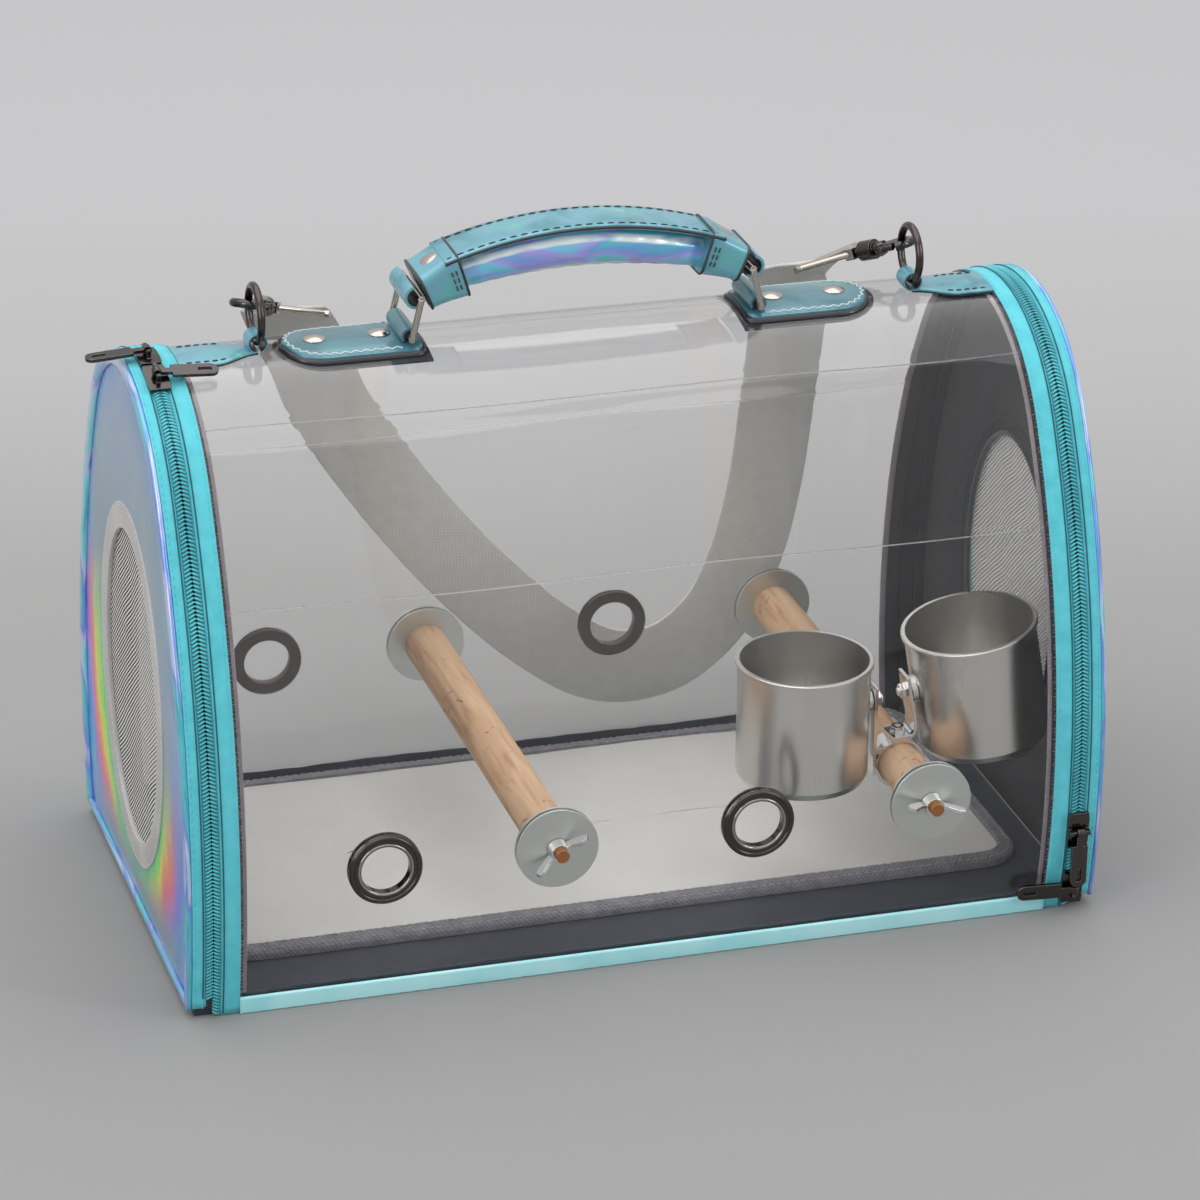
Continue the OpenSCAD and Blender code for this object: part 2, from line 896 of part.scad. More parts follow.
module door_lining(s) {
  color(charcoal)
    handed(s)
      difference() {
        arch_slice(x_in_lining, x_in_panel, -welt_in, door_z);
        oval(0, far, win_w - trim_w, win_h - trim_w, win_z);
      }
}

module left_door_lining() {
  door_lining(-1);
}

module right_door_lining() {
  door_lining(1);
}

module door_zip(s) {
  color(teal)
    handed(s)
      union() {
        arch_band(coil_o - lap, x_panel - 2 * join, 0, tape_t, zip_z);
        arch_band(coil_o - coil_w, coil_o, coil_lo, coil_hi, zip_z);
      }
}

module left_door_zip() {
  door_zip(-1);
}

module right_door_zip() {
  door_zip(1);
}

module window_trim(s) {
  color([0.78, 0.78, 0.76])
    handed(s)
      difference() {
        oval(x_panel, x_panel + trim_t, win_w, win_h, win_z);
        oval(0, far, win_w - trim_w, win_h - trim_w, win_z);
      }
}

module left_window_trim() {
  window_trim(-1);
}

module right_window_trim() {
  window_trim(1);
}

module window_mesh(s) {
  color([0.6, 0.6, 0.58])
    handed(s)
      oval(x_in_panel + mesh_in, x_in_panel + mesh_in + mesh_t, win_w - trim_w, win_h - trim_w, win_z);
}

module left_window_mesh() {
  window_mesh(-1);
}

module right_window_mesh() {
  window_mesh(1);
}

// A slider on an arc of radius r, built round the +Y direction; across: its bail runs along X
module slider_shape(r, across) {
  half = slider_l / 2 / r * 180 / PI;
  half_wedge = wedge_l / 2 / r * 180 / PI;
  w = slider_w / 2;
  union() {
    intersection() {
      union() {
        arc_x(r + plate_lo, r + plate_hi, chain_x - w, chain_x + w, half);
        arc_x(r + under_lo, r + under_hi, chain_x - w, chain_x + w, half);
      }
      translate([chain_x, r + slider_l, 0])
        rotate([90, 0, 0])
          linear_extrude(2 * slider_l)
            polygon([[slider_bevel - w, slider_l], [-w, slider_l * 0.3], [-w, -slider_l * 0.3],
              [slider_bevel - w, -slider_l], [w - slider_bevel, -slider_l],
              [w, -slider_l * 0.3], [w, slider_l * 0.3], [w - slider_bevel, slider_l]]);
    }
    arc_x(r + under_hi - fin_t / 2, r + plate_lo + fin_t / 2, chain_x - fin_t / 2,
      chain_x + fin_t / 2, half_wedge);
    arc_x(r + tape_t + side_gap, r + plate_lo + fin_t / 2, chain_x - w, coil_i - side_gap,
      half * 0.7);
    arc_x(r + under_hi - fin_t / 2, r - side_gap, chain_x - w, coil_i - side_gap, half * 0.7);
    translate([chain_x, r + bail_h, 0])
      rotate([0, across ? 90 : 0, 0])
        union() {
          cylinder(h = bail_l, r = bar_r, center = true);
          for (m = [-1, 1])
            translate([0, -leg_drop, m * bail_l / 2])
              cube(leg, center = true);
        }
  }
}

// Carry a slider's own shape to its place: top arc (side = 0), or front side arc (side = 1)
module place(s, side, angle) {
  handed(s)
    translate([0, side == 0 ? 0 : side_y, side == 0 ? top_z : belly_z])
      rotate([side == 0 ? angle : 180 - angle, 0, 0])
        children();
}

module left_front_slider() {
  color(gunmetal)
    place(-1, 0, front_park)
      slider_shape(top_r, false);
}

module left_rear_slider() {
  color(gunmetal)
    place(-1, 0, rear_park)
      slider_shape(top_r, false);
}

module right_upper_slider() {
  color(gunmetal)
    place(1, 1, upper_park)
      slider_shape(side_r, true);
}

module right_lower_slider() {
  color(gunmetal)
    place(1, 1, lower_park)
      slider_shape(side_r, false);
}

// A pull tab: an eye round the bail's bar and a flat tab with a slot, running along +X
module pull_shape() {
  difference() {
    union() {
      cylinder(h = eye_w, r = eye_r, center = true);
      translate([eye_r / 2, -pull_t / 2, -eye_w / 2])
        cube([pull_neck - eye_r / 2 + lap, pull_t, eye_w]);
      translate([pull_neck, -pull_t / 2, -pull_w / 2])
        cube([pull_l - pull_neck - pull_w / 2, pull_t, pull_w]);
      translate([pull_l - pull_w / 2, 0, 0])
        rotate([90, 0, 0])
          cylinder(h = pull_t, r = pull_w / 2, center = true);
    }
    cylinder(h = far, r = bar_r + bar_gap, center = true);
    translate([pull_l - pull_slot_in, -pull_t, -pull_slot[1] / 2])
      cube([pull_slot[0], 2 * pull_t, pull_slot[1]]);
  }
}

module left_front_pull() {
  color(gunmetal)
    place(-1, 0, front_park)
      translate([chain_x, top_r + bail_h, 0])
        rotate([0, 0, 180 + pull_lay])
          pull_shape();
}

module left_rear_pull() {
  color(gunmetal)
    place(-1, 0, rear_park)
      translate([chain_x, top_r + bail_h, 0])
        rotate([0, 0, -pull_lay])
          pull_shape();
}

module right_upper_pull() {
  color(gunmetal)
    place(1, 1, upper_park)
      translate([chain_x, side_r + bail_h, 0])
        rotate([0, -90, 0])
          rotate([0, 0, -upper_park])
            pull_shape();
}

module right_lower_pull() {
  color(gunmetal)
    place(1, 1, lower_park)
      translate([chain_x, side_r + bail_h, 0])
        rotate([0, 0, 180 + pull_lay])
          pull_shape();
}

// Handle: positions on the bow, as an angle from its middle, positive to the right
function bow(a, o) = [handle_x + (bow_r + o) * sin(a), bow_z + (bow_r + o) * cos(a)];

module handle_roll() {
  color(holo)
    translate([handle_x, 0, bow_z])
      rotate([90, 0, 0])
        rotate_extrude(angle = 2 * cuff_a, start = 90 - cuff_a, $fn = 360)
          translate([bow_r, 0])
            circle(r = roll_r, $fn = 40);
}

// The stitched strap over the roll, with a cuff folded round each loop
module handle_strap() {
  half = (cuff_w - 1) / 2;
  color(holo)
    difference() {
      rotate([90, 0, 0])
        union() {
          translate([handle_x, bow_z])
            rotate_extrude(angle = 2 * cuff_a, start = 90 - cuff_a, $fn = 360)
              translate([bow_r + roll_r + 0.05, -half])
                square([strap_top - roll_r - 0.05, 2 * half]);
          linear_extrude(cuff_w, center = true)
            for (m = [-1, 1])
              polygon([bow(m * cuff_a, -roll_r + 1), bow(m * cuff_a, strap_top),
                bow(m * (cuff_a + cuff_step), cuff_mid), bow(m * (bow_end + 0.7), grip_up + 4.4),
                bow(m * (bow_end + 1.5), grip_up + 1.8), bow(m * (bow_end + 1.5), grip_up - 1.8),
                bow(m * (bow_end + 0.7), grip_up - 4.4), bow(m * (bow_end - 0.6), grip_up - 5.6),
                bow(m * (cuff_a + 3.4), -7.4)]);
        }
      translate([grip_l, 0, grip_z])
        rotate([90, 0, 0])
          cylinder(h = far, r = loop_wire + pin_gap, center = true);
      translate([grip_r, 0, grip_z])
        rotate([90, 0, 0])
          cylinder(h = far, r = loop_wire + loop_play, center = true);
    }
}

module cuff_rivets() {
  a = bow(cuff_a, strap_top);
  b = bow(cuff_a + cuff_step, cuff_mid);
  color(steel)
    translate([handle_x, 0, 0])
      for (m = [0, 1])
        mirror([m, 0, 0])
          translate([(a[0] + b[0]) / 2 - handle_x, 0, (a[1] + b[1]) / 2])
            rotate([0, atan2(a[1] - b[1], b[0] - a[0]), 0])
              rivet_head(cuff_rivet_r);
}

// A rectangular wire loop standing on its lower pin
module loop(s) {
  h = loop_w / 2 + loop_wire;
  color([0.7, 0.68, 0.66])
    translate([s < 0 ? pin_l : pin_r, 0, pin_z])
      rotate([0, -s * lean, 0])
        union() {
          for (z = [0, loop_h])
            translate([0, 0, z])
              rotate([90, 0, 0])
                cylinder(h = 2 * h + 1, r = loop_wire, center = true);
          for (y = [-h, h])
            translate([0, y, 0])
              cylinder(h = loop_h, r = loop_wire - 0.15);
        }
}

module left_loop() {
  loop(-1);
}

module right_loop() {
  loop(1);
}

// A cup with a rolled rim, its axis through the origin
module cup_shape() {
  wall = cup_r - wall_in;
  rotate_extrude($fn = 96)
    polygon([[0, 0], [wall - 4.3, 0], [wall - 1.4, 1.4], [wall, 4.5], [wall, cup_h - 2.4],
      [cup_r, cup_h - 1.8], [cup_r, cup_h - 0.4], [cup_r - 0.4, cup_h], [wall - cup_t, cup_h],
      [wall - cup_t, 5], [wall - 2.4, 2.4], [wall - 4.8, cup_t + 0.4], [0, cup_t + 0.4]]);
}

// A cup's boss and the threaded stub that carries it, along +X from the cup's wall
module cup_stub(boss_r) {
  rotate([0, 90, 0])
    union() {
      cylinder(h = boss_l, r = boss_r);
      cylinder(h = stub_l, r = bolt_r);
    }
}

module left_cup() {
  color(steel)
    union() {
      translate([cup_l_x, clamp_y, cup_base_z])
        cup_shape();
      translate([strip_x - boss_gap - boss_l, clamp_y, bolt_z])
        cup_stub(5);
    }
}

// The right cup leans, turned about its bolt
module right_cup() {
  color(steel)
    translate([cup_r_bolt[0], clamp_y, cup_r_bolt[2]])
      rotate([0, -cup_tilt, 0])
        union() {
          translate([cup_out, 0, -cup_drop])
            cup_shape();
          translate([boss_l + boss_gap, 0, 0])
            mirror([1, 0, 0])
              cup_stub(6);
        }
}

// The chrome bracket that saddles the right dowel and carries both cups
module cup_clamp() {
  color(steel)
    difference() {
      translate([0, clamp_y, 0])
        rotate([90, 0, 0])
          linear_extrude(clamp_w, center = true)
            difference() {
              union() {
                translate([strip_x, perch_z - strip_foot])
                  square([clamp_t, bolt_z - perch_z + strip_foot + strip_over]);
                translate([perch_r_x, perch_z])
                  circle(r = saddle_r + clamp_t);
                translate([strip_x, perch_z + lip[0]])
                  square(lip);
                translate([perch_r_x - seat_w, perch_z + saddle_r])
                  square([2 * seat_w, seat_z - perch_z - saddle_r]);
                arms();
              }
              translate([perch_r_x, perch_z])
                circle(r = saddle_r);
              translate([perch_r_x - saddle_cut, perch_z - cup_r])
                square([cup_r + saddle_cut, cup_r]);
            }
      translate([strip_x - clamp_t, clamp_y, bolt_z])
        rotate([0, 90, 0])
          cylinder(h = clamp_w, r = bolt_r + thread_gap);
      translate([cup_r_bolt[0], clamp_y, cup_r_bolt[2]])
        rotate([0, 90 - cup_tilt, 0])
          cylinder(h = clamp_w, r = bolt_r + thread_gap, center = true);
    }
}

// The outlines of the two arms that rise from the seat: to the left strip and to the right bolt
module arms() {
  b = [cup_r_bolt[0], cup_r_bolt[2]];
  up = [-sin(cup_tilt), cos(cup_tilt)];
  out = [cos(cup_tilt), sin(cup_tilt)];
  low = b - arm_low * up;
  heel = [perch_r_x + seat_w - 0.6, seat_z - clamp_t];
  bend = [b[0] + 5, seat_z - clamp_t + 0.5];
  function curve(t) = (1 - t) * (1 - t) * heel + 2 * t * (1 - t) * bend + t * t * low;
  function inset(t) = -clamp_t * unit([(1 - t) * 0.1 + t * out[0], -(1 - t) + t * out[1]]);
  polygon(concat([for (i = [0 : arm_n]) curve(i / arm_n)],
    [b + arm_over * up, b + arm_over * up - clamp_t * out],
    [for (i = [arm_n : -1 : 0]) curve(i / arm_n) + inset(i / arm_n)]));
  polygon([[strip_x + 0.6, seat_z + 7.5], [perch_r_x - seat_w, seat_z - clamp_t],
    [perch_r_x - seat_w + 1.2, seat_z - clamp_t], [perch_r_x - seat_w + 0.6, seat_z],
    [strip_x + 0.6, seat_z + 9.6]]);
}

// The saddle's screw head and the two nuts on the cups' stubs
module clamp_screws() {
  color([0.8, 0.8, 0.8])
    union() {
      translate([perch_r_x, clamp_y, seat_z])
        difference() {
          cylinder(h = screw_h, r = screw_r, $fn = 6);
          translate([0, 0, screw_h - 1])
            cylinder(h = screw_h, r = socket_r);
        }
      translate([strip_x + clamp_t, clamp_y, bolt_z])
        rotate([0, 90, 0])
          nut();
      translate([cup_r_bolt[0], clamp_y, cup_r_bolt[2]])
        rotate([0, -90 - cup_tilt, 0])
          translate([0, 0, clamp_t])
            nut();
    }
}

module nut() {
  difference() {
    cylinder(h = nut_t, r = nut_r, $fn = 6);
    cylinder(h = far, r = bolt_r + thread_gap, center = true);
  }
}

clear_cover();
base_board();
front_sill();
rear_sill();
left_body_zip();
right_body_zip();
left_facing();
right_facing();
left_handle_tab();
right_handle_tab();
tab_backings();
tab_rivets();
left_ring_tab();
right_ring_tab();
eyelets();
left_perch();
right_perch();
perch_studs();
perch_washers();
floor_mat();
wing_nut_left_front();
wing_nut_left_rear();
wing_nut_right_front();
wing_nut_right_rear();
left_ring();
right_ring();
left_hook();
right_hook();
left_hook_eye();
right_hook_eye();
left_gate();
right_gate();
shoulder_strap();
left_door_panel();
left_door_lining();
left_door_zip();
left_window_trim();
left_window_mesh();
right_door_panel();
right_door_lining();
right_door_zip();
right_window_trim();
right_window_mesh();
left_front_slider();
left_rear_slider();
right_upper_slider();
right_lower_slider();
left_front_pull();
left_rear_pull();
right_upper_pull();
right_lower_pull();
handle_roll();
handle_strap();
cuff_rivets();
left_loop();
right_loop();
left_cup();
right_cup();
cup_clamp();
clamp_screws();
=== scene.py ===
"""Bird travel carrier: the visual model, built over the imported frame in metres."""

import logging
import math
from dataclasses import dataclass
from enum import Enum
from typing import Any, Callable, Sequence

import bpy
from mathutils import Matrix, Vector


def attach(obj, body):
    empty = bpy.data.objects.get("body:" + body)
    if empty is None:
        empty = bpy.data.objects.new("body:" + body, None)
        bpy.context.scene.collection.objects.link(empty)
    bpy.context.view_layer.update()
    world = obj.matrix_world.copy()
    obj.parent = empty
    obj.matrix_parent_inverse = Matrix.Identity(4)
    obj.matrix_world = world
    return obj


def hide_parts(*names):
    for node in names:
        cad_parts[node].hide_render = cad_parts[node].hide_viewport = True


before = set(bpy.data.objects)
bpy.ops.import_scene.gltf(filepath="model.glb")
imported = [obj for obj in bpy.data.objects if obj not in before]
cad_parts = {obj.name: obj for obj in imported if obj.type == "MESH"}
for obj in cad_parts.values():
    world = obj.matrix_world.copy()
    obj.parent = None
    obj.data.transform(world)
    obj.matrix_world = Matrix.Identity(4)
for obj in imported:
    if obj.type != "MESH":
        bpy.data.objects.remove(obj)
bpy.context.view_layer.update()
MM = 0.001
LOG = logging.getLogger("carrier")

Colour = tuple[float, float, float]
Profile = Sequence[tuple[float, float]]


def srgb(red: float, green: float, blue: float) -> Colour:
    """Turn a display colour of 0 to 255 a channel into scene-linear values.

    Args:
        red: Red channel.
        green: Green channel.
        blue: Blue channel.

    Returns:
        The three linear channels.
    """
    def linear(channel: float) -> float:
        """Undo the display curve of one channel."""
        c = channel / 255
        return c / 12.92 if c <= 0.04045 else ((c + 0.055) / 1.055) ** 2.4
    return linear(red), linear(green), linear(blue)


class End(Enum):
    """The two ends of the tunnel, as the sign of X."""

    LEFT = -1
    RIGHT = 1

    @property
    def side(self) -> str:
        """The end's word in node and body names."""
        return self.name.lower()

    @property
    def door(self) -> str:
        """The body of this end's door."""
        return self.side + "_door"


@dataclass(frozen=True)
class TunnelSection:
    """The tunnel's cross-section, followed by arc length from the front floor over the top.

    Two flat side arcs run smoothly into one top arc, as in the solids.
    """

    half_depth: float = 112 * MM
    belly_z: float = 65 * MM
    top_r: float = 80 * MM
    height: float = 264 * MM

    @property
    def top_z(self) -> float:
        """Height of the top arc's centre."""
        return self.height - self.top_r

    @property
    def side_r(self) -> float:
        """Radius of the side arcs."""
        rise = self.top_z - self.belly_z
        return (self.half_depth ** 2 + rise ** 2 - self.top_r ** 2) / (2 * (self.half_depth - self.top_r))

    @property
    def side_y(self) -> float:
        """How far a side arc's centre lies beyond the middle."""
        return self.side_r - self.half_depth

    @property
    def phi(self) -> float:
        """Angle above the horizon where a side arc meets the top arc."""
        return math.atan2(self.top_z - self.belly_z, self.side_y)

    @property
    def low(self) -> float:
        """Angle of the side arcs at the floor."""
        return math.asin(-self.belly_z / self.side_r)

    @property
    def side_len(self) -> float:
        """Arc length of one side."""
        return self.side_r * (self.phi - self.low)

    @property
    def length(self) -> float:
        """Arc length from floor to floor."""
        return 2 * self.side_len + self.top_r * (math.pi - 2 * self.phi)

    def at(self, s: float) -> tuple[Vector, Vector]:
        """Find a point of the section and its outward normal.

        Args:
            s: Arc length from the front floor.

        Returns:
            The point and the unit normal, both with X = 0.
        """
        if s > self.length / 2:
            point, normal = self.at(self.length - s)
            return Vector((0, -point.y, point.z)), Vector((0, -normal.y, normal.z))
        if s <= self.side_len:
            a = self.low + s / self.side_r
            normal = Vector((0, -math.cos(a), math.sin(a)))
            return Vector((0, self.side_y, self.belly_z)) + self.side_r * normal, normal
        a = self.phi + (s - self.side_len) / self.top_r
        normal = Vector((0, -math.cos(a), math.sin(a)))
        return Vector((0, 0, self.top_z)) + self.top_r * normal, normal

    def height_at(self, z: float) -> float:
        """Arc length at which the front side reaches the height z."""
        return self.side_r * (math.asin((z - self.belly_z) / self.side_r) - self.low)

    def place(self, x: float, s: float, out: float) -> Vector:
        """The point at X = x, arc length s, and a distance out along the normal, kept above the floor."""
        point, normal = self.at(s)
        spot = Vector((x, 0, 0)) + point + normal * out
        spot.z = max(spot.z, 0.05 * MM)
        return spot

    def half_depth_at(self, z: float, out: float = 0.0) -> float:
        """Half of the section's depth at the height z, moved out by a distance."""
        if z <= self.belly_z + (self.side_r + out) * math.sin(self.phi):
            return math.sqrt((self.side_r + out) ** 2 - (z - self.belly_z) ** 2) - self.side_y
        return math.sqrt(max(0.0, (self.top_r + out) ** 2 - (z - self.top_z) ** 2))


SECTION = TunnelSection()


@dataclass
class Mesh:
    """Vertices, faces and a flat pattern in metres, gathered before Blender gets them."""

    name: str
    smooth: bool = True

    def __post_init__(self) -> None:
        """Start empty."""
        self.points: list[Vector] = []
        self.faces: list[tuple[int, ...]] = []
        self.pattern: list[tuple[float, float]] = []

    def add_rows(self, rows: Sequence[Sequence[Vector]], around: bool = False, ends: bool = False,
                 at: tuple[float, float] = (0.0, 0.0)) -> "Mesh":
        """Skin a grid of points, with a pattern that runs along and across it in metres.

        Args:
            rows: Rows of equally many points.
            around: Whether each row closes on itself.
            ends: Whether the first and last rows are filled.
            at: Where the pattern starts.

        Returns:
            This mesh.
        """
        base, wide = len(self.points), len(rows[0])
        along = at[0]
        for i, row in enumerate(rows):
            if i:
                along += sum((a - b).length for a, b in zip(row, rows[i - 1])) / wide
            across = at[1]
            for j, point in enumerate(row):
                if j:
                    across += (point - row[j - 1]).length
                self.points.append(point.copy())
                self.pattern.append((along, across))
        for i in range(len(rows) - 1):
            for j in range(wide if around else wide - 1):
                a, b = base + i * wide + j, base + i * wide + (j + 1) % wide
                self.faces.append((a, b, b + wide, a + wide))
        if ends:
            last = base + (len(rows) - 1) * wide
            self.faces.append(tuple(range(base + wide - 1, base - 1, -1)))
            self.faces.append(tuple(range(last, last + wide)))
        return self

    def add_tube(self, path: Sequence[Vector], radius: float | Sequence[float], sides: int = 8,
                 closed: bool = False) -> "Mesh":
        """Add a round tube that follows a path.

        Args:
            path: Points along the middle of the tube.
            radius: One radius, or one at each point.
            sides: Sides of the tube.
            closed: Whether the path runs back into its start.

        Returns:
            This mesh.
        """
        radii = [radius] * len(path) if isinstance(radius, (int, float)) else list(radius)
        rows: list[list[Vector]] = []
        across = None
        for i, point in enumerate(path):
            after = path[(i + 1) % len(path)] if closed else path[min(i + 1, len(path) - 1)]
            before = path[i - 1] if closed or i else path[0]
            ahead = (after - before).normalized()
            if across is None:
                across = ahead.orthogonal().normalized()
            across = (across - ahead * across.dot(ahead)).normalized()
            other = ahead.cross(across)
            turns = [2 * math.pi * k / sides for k in range(sides)]
            rows.append([point + radii[i] * (math.cos(t) * across + math.sin(t) * other) for t in turns])
        if closed:
            rows.append(rows[0])
        return self.add_rows(rows, around=True, ends=not closed)

    def flip(self) -> "Mesh":
        """Turn every face over."""
        self.faces = [tuple(reversed(face)) for face in self.faces]
        return self

    def make(self, weld: bool = False) -> bpy.types.Object:
        """Hand the mesh to Blender.

        Args:
            weld: Whether doubled points are joined.

        Returns:
            The new object.
        """
        data = bpy.data.meshes.new(self.name)
        data.from_pydata([tuple(p) for p in self.points], [], self.faces)
        layer = data.uv_layers.new(name="pattern")
        for corner in data.loops:
            layer.data[corner.index].uv = self.pattern[corner.vertex_index]
        data.polygons.foreach_set("use_smooth", [self.smooth] * len(data.polygons))
        data.validate()
        made = bpy.data.objects.new(self.name, data)
        bpy.context.scene.collection.objects.link(made)
        if weld:
            add_modifier(made, "WELD", merge_threshold=0.00001)
        return made


def add_modifier(obj: bpy.types.Object, kind: str, **values: Any) -> bpy.types.Modifier:
    """Add a modifier with the given settings.

    Args:
        obj: The piece.
        kind: The modifier's type.
        **values: Settings by name.

    Returns:
        The modifier.
    """
    made = obj.modifiers.new(kind.title(), kind)
    for name, value in values.items():
        setattr(made, name, value)
    return made


def crease_edges(obj: bpy.types.Object, degrees: float = 35) -> None:
    """Shade a piece smooth, except over edges sharper than an angle."""
    with bpy.context.temp_override(object=obj, selected_editable_objects=[obj], active_object=obj):
        bpy.ops.object.shade_smooth_by_angle(angle=math.radians(degrees))


def rounded(points: Profile, radius: float, steps: int = 3) -> list[tuple[float, float]]:
    """Round the corners of a closed outline.

    Args:
        points: The corners in order.
        radius: How far from each corner the rounding starts.
        steps: Points on each rounding, beyond its first.

    Returns:
        The outline with its corners rounded.
    """
    made: list[tuple[float, float]] = []
    for i, corner in enumerate(points):
        here = Vector(corner)
        before = Vector(points[i - 1])
        after = Vector(points[(i + 1) % len(points)])
        reach = min(radius, (before - here).length * 0.49, (after - here).length * 0.49)
        start = here + (before - here).normalized() * reach
        end = here + (after - here).normalized() * reach
        for k in range(steps + 1):
            t = k / steps
            made.append(tuple((1 - t) ** 2 * start + 2 * t * (1 - t) * here + t * t * end))
    return made


def arch_rows(profile: Profile, start: float, stop: float, step: float = 4 * MM,
              sway: Callable[[float], float] | None = None) -> list[list[Vector]]:
    """Carry an outline of (X, distance out) pairs along the tunnel's section.

    Args:
        profile: The outline.
        start: Arc length at which it starts.
        stop: Arc length at which it ends.
        step: Greatest distance between rows.
        sway: How far the outline moves out at an arc length.

    Returns:
        One row of points for each place along the section.
    """
    count = max(2, math.ceil((stop - start) / step))
    rows = []
    for i in range(count + 1):
        s = start + (stop - start) * i / count
        more = sway(s) if sway else 0.0
        rows.append([SECTION.place(x, s, out + more) for x, out in profile])
    return rows


def stitch_line(mesh: Mesh, path: Sequence[tuple[Vector, Vector]], length: float = 2.6 * MM,
                gap: float = 1.1 * MM, radius: float = 0.32 * MM) -> None:
    """Lay a row of thread stitches along a path, each pulled down at its ends.

    Args:
        mesh: The mesh that gets them.
        path: Points of the seam with the surface's outward normal at each.
        length: Length of one stitch.
        gap: Gap between two stitches.
        radius: Radius of the thread.
    """
    reach = [0.0]
    for (a, _), (b, _) in zip(path, path[1:]):
        reach.append(reach[-1] + (b - a).length)

    def spot(d: float) -> tuple[Vector, Vector]:
        """The seam's point and normal at a distance along it."""
        i = max(1, next((k for k, r in enumerate(reach) if r >= d), len(reach) - 1))
        t = (d - reach[i - 1]) / max(1e-9, reach[i] - reach[i - 1])
        return path[i - 1][0].lerp(path[i][0], t), path[i - 1][1].lerp(path[i][1], t).normalized()

    d = gap
    while d + length < reach[-1]:
        line = []
        for t, lift in ((0, -0.4), (0.15, 0.35), (0.5, 0.7), (0.85, 0.35), (1, -0.4)):
            point, normal = spot(d + t * length)
            line.append(point + normal * radius * lift)
        mesh.add_tube(line, [radius * 0.7, radius, radius, radius, radius * 0.7], sides=5)
        d += length + gap


class Shade:
    """Lays nodes into one node tree and wires them together."""

    def __init__(self, tree: bpy.types.NodeTree) -> None:
        """Work in the given tree."""
        self.tree = tree

    def put(self, kind: str, sockets: dict[Any, Any] | None = None, **settings: Any) -> bpy.types.Node:
        """Add a node.

        Args:
            kind: The node's type.
            sockets: Values or sockets for its inputs, by name or number.
            **settings: Its own settings.

        Returns:
            The node.
        """
        made = self.tree.nodes.new(kind)
        for name, value in settings.items():
            setattr(made, name, value)
        for key, value in (sockets or {}).items():
            if isinstance(value, bpy.types.NodeSocket):
                self.tree.links.new(value, made.inputs[key])
            elif isinstance(value, tuple) and made.inputs[key].type == "RGBA":
                made.inputs[key].default_value = (*value[:3], 1)
            else:
                made.inputs[key].default_value = value
        return made

    def calc(self, operation: str, *terms: Any) -> bpy.types.NodeSocket:
        """Add one arithmetic step and give its result."""
        made = self.put("ShaderNodeMath", dict(enumerate(terms)), operation=operation)
        return made.outputs[0]

    def ramp(self, factor: Any, stops: Sequence[tuple[float, Colour]]) -> bpy.types.NodeSocket:
        """Turn a value into a colour.

        Args:
            factor: The value's socket.
            stops: Positions and their colours.

        Returns:
            The colour's socket.
        """
        made = self.put("ShaderNodeValToRGB", {"Fac": factor})
        band = made.color_ramp.elements
        while len(band) < len(stops):
            band.new(0.5)
        for element, (position, colour) in zip(band, stops):
            element.position = position
            element.color = (*colour, 1)
        return made.outputs["Color"]

    def blend(self, factor: Any, a: Any, b: Any, mode: str = "MIX") -> bpy.types.NodeSocket:
        """Mix two colours and give the result."""
        made = self.put("ShaderNodeMix", data_type="RGBA", blend_type=mode)
        for index, value in ((0, factor), (6, a), (7, b)):
            if isinstance(value, bpy.types.NodeSocket):
                self.tree.links.new(value, made.inputs[index])
            else:
                made.inputs[index].default_value = value if index == 0 else (*value, 1)
        return made.outputs[2]

    def noise(self, scale: Any, detail: float = 2, vector: Any = None, warp: float = 0) -> bpy.types.NodeSocket:
        """Add a soft noise in the object's own space, or along a given vector."""
        at = vector or self.put("ShaderNodeTexCoord").outputs["Object"]
        sockets = {"Vector": at, "Scale": scale, "Detail": detail, "Distortion": warp}
        return self.put("ShaderNodeTexNoise", sockets).outputs["Fac"]

    def axes(self, vector: Any = None) -> tuple[bpy.types.NodeSocket, ...]:
        """The three parts of the object's own place, or of a given vector."""
        at = vector or self.put("ShaderNodeTexCoord").outputs["Object"]
        return tuple(self.put("ShaderNodeSeparateXYZ", {0: at}).outputs)

    def pattern(self) -> tuple[bpy.types.NodeSocket, ...]:
        """The flat pattern's place, in metres along and across the piece."""
        return self.axes(self.put("ShaderNodeUVMap", uv_map="pattern").outputs[0])

    def smooth(self, value: Any, low: float, high: float) -> bpy.types.NodeSocket:
        """Rise smoothly from 0 to 1 between two values."""
        sockets = {"Value": value, "From Min": low, "From Max": high}
        made = self.put("ShaderNodeMapRange", sockets, interpolation_type="SMOOTHSTEP")
        return made.outputs["Result"]

    def fill(self, tree: bpy.types.NodeTree, sockets: dict[str, Any]) -> bpy.types.Node:
        """Place a shared effect and set its inputs."""
        made = self.put("ShaderNodeGroup", None, node_tree=tree)
        for name, value in sockets.items():
            if isinstance(value, bpy.types.NodeSocket):
                self.tree.links.new(value, made.inputs[name])
            else:
                made.inputs[name].default_value = value
        return made


